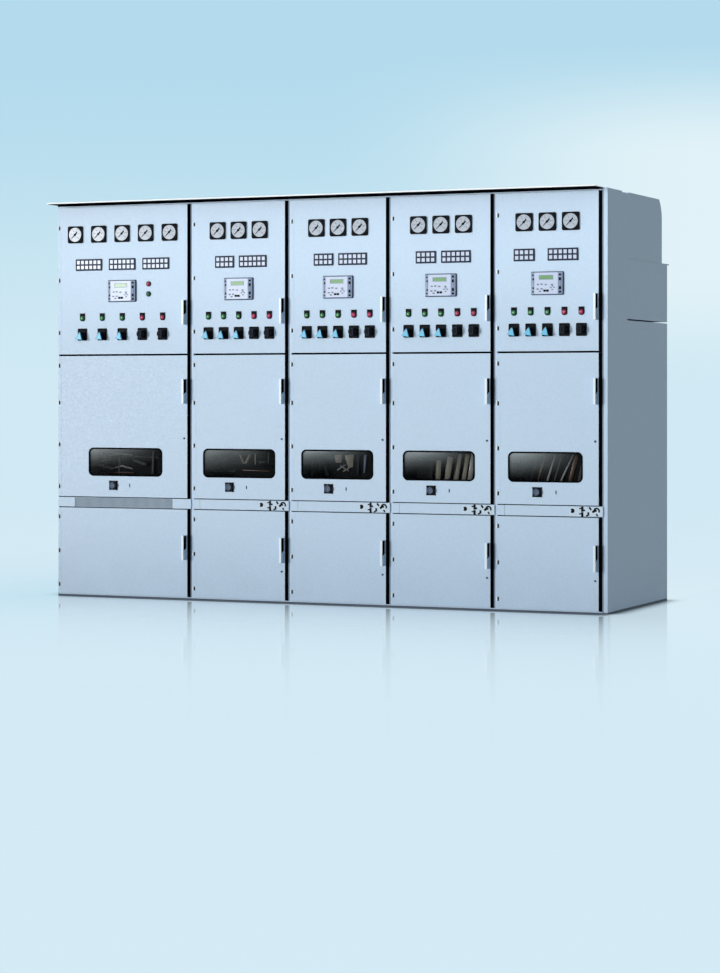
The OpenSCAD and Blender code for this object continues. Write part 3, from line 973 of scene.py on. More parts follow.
def handle_bar(size, recess):
    """A square grip with a finger recess in the side away from the hinges; the recess is painted black,
    as painted shade.
    """
    half, rim = size / 2, 3 * MM
    piece = block((-half.x, -size.y, -half.z), (half.x, 0, half.z), paint())
    # Painted highlight: the front takes whiter paint than the sides
    dress(piece, front, highlight_paint())
    pick_faces(piece, facing_right)
    inset(rim)
    close(piece)

    def at_foot(spot):
        return spot.x > half.x - NEAR and -half.z + rim / 2 < spot.z < -half.z + 2 * rim

    # The lower end of the recess slants up towards the door
    for deep, rise in ((False, 0.36), (True, 0.46)):
        pick_corners(piece, lambda spot: at_foot(spot) and (spot.y > -half.y) is deep)
        nudge(up=rise * size.z)
        close(piece)

    def within_rim(face):
        heights = (piece.data.vertices[i].co.z for i in face.vertices)
        return facing_right(face) and all(abs(z) < half.z - rim / 2 for z in heights)

    pick_faces(piece, within_rim)
    extrude(across=-recess)
    # Black faces in the recess: painted shade
    close(piece, black())

    def in_recess(face):
        spot, edge = face.center, 1 * MM
        return (
            half.x - recess < spot.x < half.x - edge
            and abs(face.normal.x) < 0.5
            and abs(spot.y + half.y) < half.y - edge
            and abs(spot.z) < half.z - edge
        )

    # The recess's inner sides in black too: painted shade
    dress(piece, in_recess, black())
    return break_edges(piece, 0.9 * MM, 2)


class SWITCHGEAR_OT_handles(bpy.types.Operator):
    """Makes a handle once and fits it to every door"""

    bl_idname = "switchgear.handles"
    bl_label = "Handles"

    def execute(self, context):
        size = handle_of(f"upper_door_{FIRST}").size
        bar = handle_bar(size, context.scene.switchgear_doors.grip_recess)
        for k in CUBICLES:
            for row in ROWS:
                door = f"{row}_door_{k}"
                seat_at = handle_of(door).middle
                seat_at.y = FACE_Y
                hand_over(copy_at(bar, seat_at), f"{door}_handle", door, "paint", door)
        scrap(bar)
        return {"FINISHED"}


# ---- windows and locks ----


def frame_of(low, high, width, radius, finish):
    """A flat frame with round corners."""
    piece = rounded_block(low, high, radius, 8, finish)
    rim = Vector((width, -1 * MM, width))
    return cut_away(piece, rounded_block(low + rim, high - rim, max(radius - width, 1 * MM), 8))


def gasket(opening, width):
    """A rubber ring round a window, standing a little proud of the door."""
    low, high = opening.low.copy(), opening.high.copy()
    low.y, high.y = FACE_Y - 2.5 * MM, FACE_Y + 2.4 * MM
    piece = frame_of(low, high, width, 30 * MM, rubber())
    break_edges(piece, 0.8 * MM, 2)
    return smooth(piece, 40)


def glazing(pane, haze, fading):
    """A pane with a painted reflection, a pale layer that is thickest in its upper left corner."""
    deselect()
    bpy.ops.mesh.primitive_grid_add(
        x_subdivisions=24,
        y_subdivisions=10,
        size=1,
        location=(pane.middle.x, pane.low.y, pane.middle.z),
        rotation=(pi / 2, 0, 0),
    )
    piece = bpy.context.object
    piece.scale = (pane.size.x, pane.size.z, 1)
    seat(piece)
    piece.data.materials.append(window_glass())
    modify(piece, "SOLIDIFY", thickness=pane.size.y, offset=-1)
    film = piece.data.attributes.new("film", "FLOAT", "POINT")
    for corner, value in zip(piece.data.vertices, film.data):
        across = (corner.co.x - pane.low.x) / pane.size.x
        down = (pane.high.z - corner.co.z) / pane.size.z
        left, above = max(0.0, 1 - across), max(0.0, 1 - 1.15 * down)
        value.value = haze * left**1.6 * above**fading
    return piece


def lock_plate(side):
    """An eared black plate with a turned barrel and its slot, and a black crescent beside the barrel that
    is a painted shadow.
    """
    half, ear = side / 2, 0.14 * side
    plate = block((-half, -3 * MM, -half), (half, 0, half), black())
    round_corners(plate, 0.16 * side, 1)
    sink(plate, front, 3 * MM, 1 * MM)
    ears = []
    for x in (-1, 1):
        for z in (-1, 1):
            at = Vector((x * (half - ear / 2), -2 * MM, z * (half - ear / 2)))
            boss = drum(at, 0.62 * ear, 4 * MM, 16, black())
            ears.append(sink(boss, front, 1.2 * MM, 1 * MM))
    centre = -0.06 * side
    barrel = drum((centre, -6 * MM, 0), 0.36 * side, 8 * MM, 32, barrel_steel())
    sink(barrel, front, 2 * MM, 1 * MM)
    break_edges(barrel, 0.5 * MM, 2)
    low, high = (centre - 1.5 * MM, -10 * MM, -5 * MM), (centre + 1.5 * MM, -9.1 * MM, 5 * MM)
    slot = block(low, high, key_grey())
    # Painted shadow: a black crescent to the right of the barrel
    barrel_shadow = drum((0.12 * side, -7 * MM, 0), 0.36 * side, 10 * MM, 28, black())
    cut_away(barrel_shadow, drum((-0.10 * side, -6 * MM, 0), 0.36 * side, 14 * MM, 32))
    return smooth(joined(barrel, slot, barrel_shadow, *ears, plate))


def key_dot(diameter):
    """A small round lock with a slot."""
    dot = drum((0, -1.5 * MM, 0), diameter / 2, 3 * MM, 20, barrel_steel())
    sink(dot, front, 1.5 * MM, 0.8 * MM)
    slot = block((-0.8 * MM, -3 * MM, -2.5 * MM), (0.8 * MM, -2 * MM, 2.5 * MM), black())
    return smooth(joined(slot, dot))


def escutcheon():
    """A narrow upright slot plate."""
    low, high = (-3 * MM, -1.5 * MM, -10 * MM), (3 * MM, 0, 10 * MM)
    plate = rounded_block(low, high, 2.9 * MM, 4, key_grey())
    return sink(plate, front, 1.2 * MM, 1 * MM, black())


class SWITCHGEAR_OT_windows(bpy.types.Operator):
    """Fits the gaskets and panes, and the locks on the middle and lower doors"""

    bl_idname = "switchgear.windows"
    bl_label = "Windows and locks"

    # Shares of a door's height: the lock plate, and the key dots on middle and lower doors
    lock_up, middle_dot_up, lower_dot_up = 0.082, 0.419, 0.325
    # How strong each window's painted reflection is, and how fast it thins out downwards
    haze = ((0.74, 3.0), (0.50, 1.8), (0.88, 3.2), (1.05, 3.0), (0.80, 1.9))

    def execute(self, context):
        sizes = context.scene.switchgear_doors
        plate, dot, slot = lock_plate(sizes.lock_plate), key_dot(sizes.key_dot), escutcheon()
        to_plate, to_slot, to_dot = (Vector((x * MM, 0, 0)) for x in (-57, 47, -19))
        for k in CUBICLES:
            door = f"middle_door_{k}"
            leaf = leaf_of(door)
            ring = gasket(window_of(k), sizes.gasket)
            hand_over(ring, f"window_gasket_{k}", door, "black_plastic")
            pane = glazing(solids_of(f"window_{k}")[0], *self.haze[k - 1])
            hand_over(pane, f"window_pane_{k}", door, "window_pane", f"window_{k}")
            centre = on_leaf(leaf, 0.5, self.lock_up)
            parts = [
                copy_at(plate, centre + to_plate),
                copy_at(slot, centre + to_slot),
                copy_at(dot, on_leaf(leaf, 1.0, self.middle_dot_up) + to_dot),
            ]
            hand_over(joined(*parts), f"middle_door_lock_{k}", door, "black_plastic")
            if k != FIRST:
                lower = f"lower_door_{k}"
                lock = copy_at(dot, on_leaf(leaf_of(lower), 1.0, self.lower_dot_up) + to_dot)
                hand_over(lock, f"lower_door_lock_{k}", lower, "hinge_steel")
        scrap(plate, dot, slot)
        return {"FINISHED"}


# ---- instruments ----


def fittings(k):
    """The meters, the annunciators and the controller of a cubicle, as solids of the frame."""
    found = sorted(solids_of(f"instruments_{k}"), key=lambda s: -s.middle.z)
    meters = [s for s in found if abs(s.size.x - s.size.z) < 1 * MM]
    relay = min(found, key=lambda s: s.low.z)
    alarms = [s for s in found if s not in meters and s is not relay]
    return meters, alarms, relay


def face_spot(solid):
    """Where a fitting sits on the door's face."""
    return Vector((solid.middle.x, FACE_Y, solid.middle.z))


def housing(solid, setback, finish):
    """The body of a fitting behind the door, with a stepped rear."""
    half_w, half_h = solid.size.x / 2 - setback, solid.size.z / 2 - setback
    depth = solid.high.y - FACE_Y
    body = block((-half_w, 0, -half_h), (half_w, depth, half_h), finish)
    sink(body, back, 7 * MM, -2 * MM)
    return break_edges(body, 1 * MM, 2)


def figure(text, height, place, finish):
    """A flat figure on a dial, as a mesh that faces out of the doors."""
    deselect()
    bpy.ops.object.text_add(location=place, rotation=(pi / 2, 0, 0))
    writing = bpy.context.object
    writing.data.body = text
    writing.data.size = height
    writing.data.align_x = "CENTER"
    writing.data.align_y = "CENTER"
    writing.data.resolution_u = 2
    only(writing)
    bpy.ops.object.convert(target="MESH")
    writing.data.materials.append(finish)
    return seat(writing)


def spoke(inner, outer, foot, tip, angle, y, finish):
    """A flat mark that points away from a dial's centre, angle clockwise from the top."""
    mark = block((-foot / 2, y, inner), (foot / 2, y + 0.4 * MM, outer), finish)
    pick_faces(mark, upward)
    bpy.ops.transform.resize(value=(tip / foot, 1, 1), orient_type="GLOBAL")
    close(mark)
    mark.rotation_euler.y = angle
    return seat(mark)


def meter(solid, sizes):
    """A square meter: moulded bezel, sunk dial with its scale, pointer and housing."""
    half, out = solid.size.x / 2, FACE_Y - solid.low.y
    bezel = rounded_block((-half, -out, -half), (half, 0, half), sizes.bezel_corner, 5, black())
    break_edges(bezel, 1 * MM, 2)
    ring = drum((0, -out, 0), sizes.dial / 2 + 3 * MM, 2 * MM, 56, black())
    sink(ring, front, 2.2 * MM, 0.7 * MM, dial_white())
    face = -out - 0.3 * MM
    sweep, steps, numbered = radians(270), 20, 4
    rest = -sweep / 2
    marks = []
    for i in range(steps + 1):
        angle = rest + sweep * i / steps
        inner, wide = (29 * MM, 2.0 * MM) if i % numbered == 0 else (32 * MM, 1.0 * MM)
        marks.append(spoke(inner, 35 * MM, wide, wide, angle, face - 0.3 * MM, dial_ink()))
        if i % numbered == 0:
            at = Vector((22 * MM * sin(angle), face - 0.3 * MM, 22 * MM * cos(angle)))
            marks.append(figure(str(5 * i), 9 * MM, at, dial_ink()))
    needle = spoke(0, 32 * MM, 6.0 * MM, 2.4 * MM, rest, face - 2.0 * MM, black())
    tail = spoke(0, 20 * MM, 7.5 * MM, 8.0 * MM, rest + pi, face - 2.0 * MM, black())
    hub = drum((0, face - 1.6 * MM, 0), 6.5 * MM, 3 * MM, 20, black())
    sink(hub, front, 1.5 * MM, 0.6 * MM)
    body = housing(solid, 4 * MM, black())
    rear = solid.high.y - FACE_Y + 3 * MM
    studs = []
    for x in (-22 * MM, 22 * MM):
        stud = drum((x, rear, -14 * MM), 3 * MM, 8 * MM, 12, hinge_steel())
        studs.append(sink(stud, back, 0.8 * MM, -1 * MM))
    return smooth(joined(ring, *marks, needle, tail, hub, body, *studs, bezel))


def annunciator(solid, columns):
    """A frame with two rows of alarm windows."""
    half_w, half_h = solid.size.x / 2, solid.size.z / 2
    out = FACE_Y - solid.low.y
    body = rounded_block((-half_w, -out, -half_h), (half_w, 0, half_h), 3 * MM, 3, slate())
    break_edges(body, 0.8 * MM, 2)
    deselect()
    bpy.ops.mesh.primitive_grid_add(
        x_subdivisions=columns,
        y_subdivisions=2,
        size=1,
        location=(0, -out - 0.2 * MM, 0),
        rotation=(pi / 2, 0, 0),
    )
    panes = bpy.context.object
    panes.scale = (2 * half_w - 9 * MM, 2 * half_h - 9 * MM, 1)
    seat(panes)
    panes.data.materials.append(slate())
    pick_faces(panes, every)
    bpy.ops.mesh.inset(thickness=4.2 * MM, depth=0, use_individual=True)
    extrude(out=-0.9 * MM)
    close(panes, alarm_pane())
    break_edges(panes, 0.4 * MM, 1)
    return smooth(joined(panes, housing(solid, 5 * MM, black()), body))


def key_block(low, high, finish, edge=0.8 * MM):
    """A moulded key with broken edges and a dished front."""
    key = block(low, high, finish)
    sink(key, front, 1.2 * MM, 0.4 * MM)
    return break_edges(key, edge, 1)


# Places on a controller, as shares of its width from the left and of its height from the top
LABELS = (
    (0.20, 0.52), (0.31, 0.51), (0.44, 0.53), (0.63, 0.53), (0.19, 0.72), (0.31, 0.71), (0.26, 0.82)
)
ARROW_KEYS = ((0.60, 0.66), (0.70, 0.66), (0.65, 0.60), (0.65, 0.75))
# The clips along both sides, each with its height
CLIPS = (
    (0.05, 0.12, 0.07), (0.06, 0.28, 0.09), (0.06, 0.66, 0.09), (0.05, 0.82, 0.07),
    (0.87, 0.10, 0.08), (0.87, 0.26, 0.13), (0.87, 0.63, 0.13), (0.87, 0.83, 0.08),
)


def controller(solid):
    """A protection controller: two grips, a pale face, a screen, lamps and keys."""
    w, h = solid.size.x, solid.size.z
    out = FACE_Y - solid.low.y
    left, top = -w / 2, h / 2
    rim = 3.5 * MM
    # The dark slate foot shows as an outline round the controller: painted shade
    foot = rounded_block((left, -5 * MM, -top), (-left, 0, top), 6 * MM, 4, slate())
    break_edges(foot, 1 * MM, 2)
    low, high = (left + rim, 2 * MM - out, rim - top), (-left - rim, -4 * MM, top - rim)
    body = rounded_block(low, high, 5 * MM, 4, bezel_grey())
    break_edges(body, 1 * MM, 2)
    low, high = (left + 0.12 * w, -out, 6 * MM - top), (left + 0.84 * w, -4 * MM, top - 6 * MM)
    face = rounded_block(low, high, 4 * MM, 3, panel_pale())
    sink(face, front, 3 * MM, 0.8 * MM, panel_pale())
    skin, parts = 0.8 * MM - out, [face]

    def key(across, down, width, height, finish, rise=2.0 * MM):
        x, z = left + across * w, top - down * h
        parts.append(
            key_block((x, skin - rise, z - height), (x + width, skin + 1 * MM, z), finish)
        )

    low = (left + 0.26 * w, skin - 1.6 * MM, top - 0.35 * h)
    high = (left + 0.70 * w, skin + 1 * MM, top - 0.15 * h)
    display = rounded_block(low, high, 2 * MM, 2, bezel_grey())
    parts.append(sink(display, front, 2.2 * MM, 0.9 * MM, screen()))
    for across, down in LABELS:
        key(across, down, 0.065 * w, 0.055 * h, key_grey())
    for across, down in ARROW_KEYS:
        key(across, down, 0.05 * w, 0.045 * h, key_grey())
    for across in (0.40, 0.49):
        key(across, 0.77, 0.07 * w, 0.09 * h, black(), 3 * MM)
    for across, down, tall in CLIPS:
        x, z = left + across * w, top - down * h
        wide = (0.045 if across < 0.5 else 0.07) * w
        clip = block((x, -out + 1.2 * MM, z - tall * h), (x + wide, -out + 2.6 * MM, z), black())
        parts.append(sink(clip, front, 1.2 * MM, 0.5 * MM))
    for side in (0.075, 0.92):
        x = left + side * w
        low, high = (x, 1.0 * MM - out, -0.16 * h), (x + 0.012 * w, 2.6 * MM - out, 0.14 * h)
        rib = block(low, high, key_grey())
        parts.append(break_edges(rib, 0.5 * MM, 1))
    return smooth(joined(*parts, housing(solid, 6 * MM, key_grey()), foot, body))


class SWITCHGEAR_OT_instruments(bpy.types.Operator):
    """Makes the panel meters, the annunciators and the controllers"""

    bl_idname = "switchgear.instruments"
    bl_label = "Meters, annunciators and controllers"

    def execute(self, context):
        sizes = context.scene.switchgear_instruments
        meters, _, relay = fittings(FIRST)
        gauge, box, panels = meter(meters[0], sizes), controller(relay), {}
        for k in CUBICLES:
            meters, alarms, relay = fittings(k)
            door = f"upper_door_{k}"
            dials = joined(*[copy_at(gauge, face_spot(s)) for s in meters])
            hand_over(dials, f"meters_{k}", door, "black_plastic", f"instruments_{k}")
            rows = []
            for alarm in alarms:
                columns = 6 if alarm.size.x > 2.2 * alarm.size.z else 4
                if columns not in panels:
                    panels[columns] = annunciator(alarm, columns)
                rows.append(copy_at(panels[columns], face_spot(alarm)))
            hand_over(joined(*rows), f"annunciators_{k}", door, "grey_plastic", f"instruments_{k}")
            relay_box = copy_at(box, face_spot(relay))
            hand_over(relay_box, f"controller_{k}", door, "grey_plastic", f"instruments_{k}")
        scrap(gauge, box, *panels.values())
        return {"FINISHED"}


# ---- lamps and switches ----

# How far the plates of the cam switches stand out from the doors
PLATE_OUT = 5 * MM


def controls(k):
    """The lamps, the cam switches and the larger lamps of a cubicle."""
    found = solids_of(f"lamps_and_switches_{k}")
    slim = [s for s in found if s.size.z > 1.4 * s.size.x]
    wide = max(s.size.x for s in found)
    switches = [s for s in found if s.size.x > 0.95 * wide]
    others = [s for s in found if s not in slim and s not in switches]
    return slim, switches, sorted(others, key=lambda s: s.middle.z)


def signal_lamp(solid, diameter, rim_glass, glass):
    """A shield with a round foot and a domed lens in its lower half, whose pale centre is a painted
    highlight.
    """
    half_w, half_h = solid.size.x / 2 + 1.5 * MM, solid.size.z / 2
    shield = block((-half_w, -4 * MM, -half_h), (half_w, 0, half_h), black())
    round_corners(shield, 0.46 * solid.size.x, 6, lambda a, b: a.z < 0)
    sink(shield, front, 1.6 * MM, 1 * MM)
    seat_z = -half_h + half_w + 1 * MM
    collar = drum((0, -4 * MM, seat_z), diameter / 2 + 1.5 * MM, 5 * MM, 28, black())
    sink(collar, front, 1.5 * MM, 1 * MM)
    bulb = drum((0, -5.5 * MM, seat_z), diameter / 2, 9 * MM, 28, rim_glass)
    pick_faces(bulb, front)
    inset(0.26 * diameter, 0.9 * MM)
    inset(0.05 * diameter, 0.4 * MM)
    # Painted highlight: the lens's centre takes the pale glass
    close(bulb, glass)
    low, high = (3 * MM - half_w, -4.6 * MM, 6 * MM), (half_w - 3 * MM, -3 * MM, half_h - 4 * MM)
    tag = block(low, high, black())
    sink(tag, front, 1.2 * MM, 0.6 * MM)
    return smooth(joined(collar, bulb, tag, housing(solid, 4 * MM, black()), shield))


def wedge(width, height, foot, near, far, finish):
    """A three-cornered block that points upwards from its foot."""
    piece = drum((0, (near + far) / 2, 0), 1, near - far, 3, finish)
    spots = [v.co for v in piece.data.vertices]
    tall, wide = max(c.z for c in spots) - min(c.z for c in spots), max(c.x for c in spots)
    pick_faces(piece, every)
    bpy.ops.transform.resize(
        value=(width / 2 / wide, 1, height / tall), center_override=(0, 0, 0), orient_type="GLOBAL"
    )
    close(piece)
    lowest = min(v.co.z for v in piece.data.vertices)
    pick_faces(piece, every)
    nudge(up=foot - lowest)
    close(piece)
    round_corners(piece, 2.5 * MM, 3)
    return piece


def switch_plate(solid):
    """A square plate with its collar, and the body behind the door."""
    half = solid.size.x / 2
    low, high = (-half + 1 * MM, -PLATE_OUT, -half - 4 * MM), (half - 1 * MM, 0, half + 4 * MM)
    plate = rounded_block(low, high, 6 * MM, 5, black())
    sink(plate, front, 2.5 * MM, 0.8 * MM)
    break_edges(plate, 0.8 * MM, 2)
    collar = drum((0, -PLATE_OUT - 1 * MM, 0), 0.42 * solid.size.x, 5 * MM, 36, black())
    sink(collar, front, 2 * MM, 1 * MM)
    rear = drum((0, 30 * MM, 0), 16 * MM, 60 * MM, 28, black())
    sink(rear, back, 3 * MM, -2 * MM)
    return joined(collar, rear, plate)


def wedge_switch(solid, width, height, finish, turn):
    """A cam switch with a tapered grip whose coloured cap stands on a black body; the black is painted
    shade on the grip's side.
    """
    grip_out, cap_t = FACE_Y - solid.low.y, 7 * MM
    # Painted shade: the grip's body behind the cap is black
    shade_shaft = wedge(0.9 * width, 0.92 * height, -0.6 * height, -PLATE_OUT, cap_t - grip_out, black())
    cap = wedge(width, height, -0.65 * height, cap_t - grip_out, -grip_out, finish)
    sink(cap, front, 0.09 * width, 1.2 * MM)
    break_edges(cap, 0.8 * MM, 2)
    grip = joined(shade_shaft, cap)
    grip.rotation_euler.y = turn
    seat(grip)
    return smooth(joined(grip, switch_plate(solid)))


def round_switch(solid, diameter):
    """A cam switch with a round knob and a narrow grip across it, whose grey rim is a painted highlight.
    """
    knob_out, ridge_out = 32 * MM, FACE_Y - solid.low.y
    knob = drum((0, -knob_out / 2, 0), diameter / 2, knob_out, 40, black())
    sink(knob, front, 2.4 * MM, 0.9 * MM)
    break_edges(knob, 0.8 * MM, 2)
    half_w, half_h = 0.27 * diameter, 0.48 * diameter
    low, high = (-half_w, -ridge_out, -half_h), (half_w, -knob_out, half_h)
    # Painted highlight: a grey rim round the grip's black front
    highlit_ridge = rounded_block(low, high, 0.99 * half_w, 6, slate())
    sink(highlit_ridge, front, 1.8 * MM, 1.0 * MM, black())
    return smooth(joined(highlit_ridge, knob, switch_plate(solid)))


def large_lamp(solid, glass):
    """A larger lamp: a flanged collar and a domed lens."""
    radius, out = solid.size.x / 2, FACE_Y - solid.low.y
    flange = drum((0, -2 * MM, 0), radius, 4 * MM, 36, black())
    sink(flange, front, 2 * MM, -2 * MM)
    dome = drum((0, -5 * MM, 0), radius - 3 * MM, 6 * MM, 36, glass)
    pick_faces(dome, front)
    inset(0.18 * radius, out - 9 * MM)
    inset(0.22 * radius, 1.0 * MM)
    close(dome)
    rear = drum((0, 30 * MM, 0), 11 * MM, 60 * MM, 24, black())
    sink(rear, back, 3 * MM, -2 * MM)
    return smooth(joined(dome, rear, flange))


class SWITCHGEAR_OT_controls(bpy.types.Operator):
    """Makes the signal lamps, the cam switches and the two larger lamps"""

    bl_idname = "switchgear.controls"
    bl_label = "Lamps and switches"

    # Of the five lamps and five switches in a row, the green lamps and the blue grips
    green_lamps, blue_grips = 3, 3

    def execute(self, context):
        sizes = context.scene.switchgear_instruments
        pots, knobs, _ = controls(FIRST)
        green, red = (
            signal_lamp(
                pots[0], sizes.lens, *(lens(f"{part}_{hue}", f"{hue}_{part}") for part in ("rim", "lens"))
            )
            for hue in ("green", "red")
        )
        wide, tall = sizes.grip_width, sizes.grip_height
        blue = wedge_switch(knobs[0], wide, tall, grip_blue(), radians(11))
        dark = round_switch(knobs[0], sizes.knob)
        for k in CUBICLES:
            pots, knobs, large = controls(k)
            door, node = f"upper_door_{k}", f"lamps_and_switches_{k}"
            for name, found, first, count, other in (
                ("signal_lamps", pots, green, self.green_lamps, red),
                ("cam_switches", knobs, blue, self.blue_grips, dark),
            ):
                row = [
                    copy_at(first if i < count else other, face_spot(solid))
                    for i, solid in enumerate(found)
                ]
                hand_over(joined(*row), f"{name}_{k}", door, "black_plastic", node)
            pair = []
            for solid, hue in zip(large, ("green", "red")):
                bulb = large_lamp(solid, lens(f"large_{hue}", f"dark_{hue}"))
                pair.append(copy_at(bulb, face_spot(solid)))
                scrap(bulb)
            if pair:
                hand_over(joined(*pair), f"large_lamps_{k}", door, "black_plastic", node)
        scrap(green, red, blue, dark)
        return {"FINISHED"}


# ---- front frame ----


def between_cubicles(posts):
    """The tall posts without the one at the left end."""
    return [p for p in posts if p.size.z > 1 and p.low.x > FRONT_LEFT + 0.1]


class SWITCHGEAR_OT_front(bpy.types.Operator):
    """Finishes the posts, the fixed bands and the frame's half of the hinges"""

    bl_idname = "switchgear.front"
    bl_label = "Posts, bands and hinges"

    def execute(self, context):
        folded_copy("front_posts", "posts", SHELL, "paint", paint(), paint_edge())
        # The frame's hinge arms take the whiter paint: a painted highlight
        steel = highlight_paint()
        folded_copy("frame_hinges", "hinge_arms", SHELL, "paint", steel, steel, 0.3 * MM)
        # Grey strips along the posts' left edges: painted shade from the door leaves
        lip_shades = [
            block(
                (post.low.x + 0.3 * MM, post.low.y - 0.8 * MM, post.low.z + 4 * MM),
                (post.low.x + 7 * MM, post.low.y + 0.4 * MM, post.high.z - 4 * MM),
                lip_shade_grey(),
            )
            for post in between_cubicles(solids_of("front_posts"))
        ]
        for lip in lip_shades:
            break_edges(lip, 0.4 * MM, 2)
        hand_over(joined(*lip_shades), "post_lips", SHELL, "paint")
        seam_inset, seam = 42 * MM, 1.2 * MM
        plates = []
        for band in solids_of("crossbands"):
            low, high = band.low, band.high
            if band.size.x > 10 * seam_inset:
                cut = low.x + seam_inset
                plates.append(block(low, (cut, high.y, high.z), paint()))
                low = Vector((cut + seam, low.y, low.z))
            plates.append(block(low, high, paint()))
        for plate in plates:
            break_edges(plate, 0.8 * MM, 2, paint_edge())
        hand_over(joined(*plates), "bands", SHELL, "paint", "crossbands")
        return {"FINISHED"}


class SWITCHGEAR_OT_grille(bpy.types.Operator):
    """Lines up the upright slats of the ventilation grille in front of a black rear sheet, which is
    painted shade between the slats
    """

    bl_idname = "switchgear.grille"
    bl_label = "Grille"

    def execute(self, context):
        area = solids_of("vent_grille")[0]
        pitch, slat_w, rim = 7 * MM, 3.8 * MM, 2 * MM
        count = int((area.size.x - 2 * rim) / pitch)
        start = area.middle.x - count * pitch / 2
        deep = area.high.y - 0.6 * MM
        # Painted shade: a black sheet behind the slats
        rear = block((area.low.x, deep, area.low.z), area.high, rubber())
        sink(rear, front, rim, 0.2 * MM)
        foot, head = (start, area.low.y, area.low.z + rim), (start + slat_w, deep, area.high.z - rim)
        slat = block(foot, head, grille_steel())
        pick_faces(slat, front)
        inset(0.6 * MM)
        nudge(out=-0.3 * MM)
        close(slat)
        modify(
            slat,
            "ARRAY",
            count=count,
            use_relative_offset=False,
            use_constant_offset=True,
            constant_offset_displace=(pitch, 0, 0),
        )
        border = frame_of(area.low, area.high, rim, 2 * MM, grille_steel())
        break_edges(border, 0.4 * MM, 1)
        hand_over(joined(slat, rear, border), "grille", SHELL, "grille", "vent_grille")
        return {"FINISHED"}


def bow(centre, radius, width, start, sweep, finish):
    """A flat arc about a point, angles clockwise from the top."""
    steps = 10
    chord = 1.15 * radius * sweep / steps
    made = []
    for i in range(steps):
        angle = start + sweep * (i + 0.5) / steps
        piece = block((-chord / 2, -0.2 * MM, -width / 2), (chord / 2, 0, width / 2), finish)
        piece.rotation_euler.y = angle
        piece.location = (centre[0] + radius * sin(angle), 0, centre[1] + radius * cos(angle))
        made.append(seat(piece))
    return made


def interlock_plate(size):
    """A plate with its signs: a key mark, a hooked lever and a turning knob."""
    w, ink = size.x, black()
    plate = rounded_block((0, 0, -size.z / 2), (w, size.y, size.z / 2), 3 * MM, 3, plate_white())
    break_edges(plate, 0.4 * MM, 2)

    def bar(across, up, width, height, lean=0.0):
        mark = block((-width / 2, -0.2 * MM, -height / 2), (width / 2, 0, height / 2), ink)
        mark.rotation_euler.y = radians(lean)
        mark.location = (across * w, 0, up)
        return seat(mark)

    key = drum((0.095 * w, -0.1 * MM, 3 * MM), 12 * MM, 0.2 * MM, 28, ink)
    cut_away(key, drum((0.095 * w - 15 * MM, 0, 3 * MM), 8.5 * MM, 4 * MM, 28))
    notch = drum((0.445 * w, -0.1 * MM, 6 * MM), 8.5 * MM, 0.2 * MM, 3, ink)
    dot = drum((0.79 * w, -0.1 * MM, 5 * MM), 6 * MM, 0.2 * MM, 16, ink)
    marks = [
        bar(0.39, 12.5 * MM, 13 * MM, 27 * MM),
        bar(0.39, -15 * MM, 13 * MM, 24 * MM),
        bar(0.33, 16 * MM, 12 * MM, 7 * MM),
        bar(0.33, -12 * MM, 12 * MM, 7 * MM),
        bar(0.57, -12 * MM, 11 * MM, 18 * MM),
        bar(0.625, 16 * MM, 10 * MM, 18 * MM, -40),
        bar(0.72, 0, 14 * MM, 12 * MM, -20),
        bar(0.825, -17 * MM, 9 * MM, 13 * MM, -40),
    ]
    marks += bow((0.51 * w, -12 * MM), 10 * MM, 7.5 * MM, radians(95), radians(100), ink)
    marks += bow((0.815 * w, 3 * MM), 14 * MM, 9 * MM, radians(-100), radians(215), ink)
    return joined(key, notch, dot, *marks, plate)


class SWITCHGEAR_OT_plates(bpy.types.Operator):
    """Makes an interlock plate with its signs once and fits it beside each interlock"""

    bl_idname = "switchgear.plates"
    bl_label = "Interlock plates"

    def execute(self, context):
        found = solids_of("interlock_plates")
        plate = interlock_plate(found[0].size)
        fitted = copies(plate, [Vector((s.low.x, s.low.y, s.middle.z)) for s in found])
        hand_over(fitted, "signed_plates", SHELL, "interlock_plate", "interlock_plates")
        return {"FINISHED"}


# ---- shell ----


def screw_head():
    """A pan head with a cross slot."""
    head = drum((0, 0.9 * MM, 0), 5 * MM, 1.8 * MM, 14, barrel_steel())
    pick_faces(head, back)
    inset(1.4 * MM, 0.5 * MM)
    close(head)
    slot = block((-0.6 * MM, 1.9 * MM, -3 * MM), (0.6 * MM, 2.4 * MM, 3 * MM), black())
    return smooth(joined(slot, head))


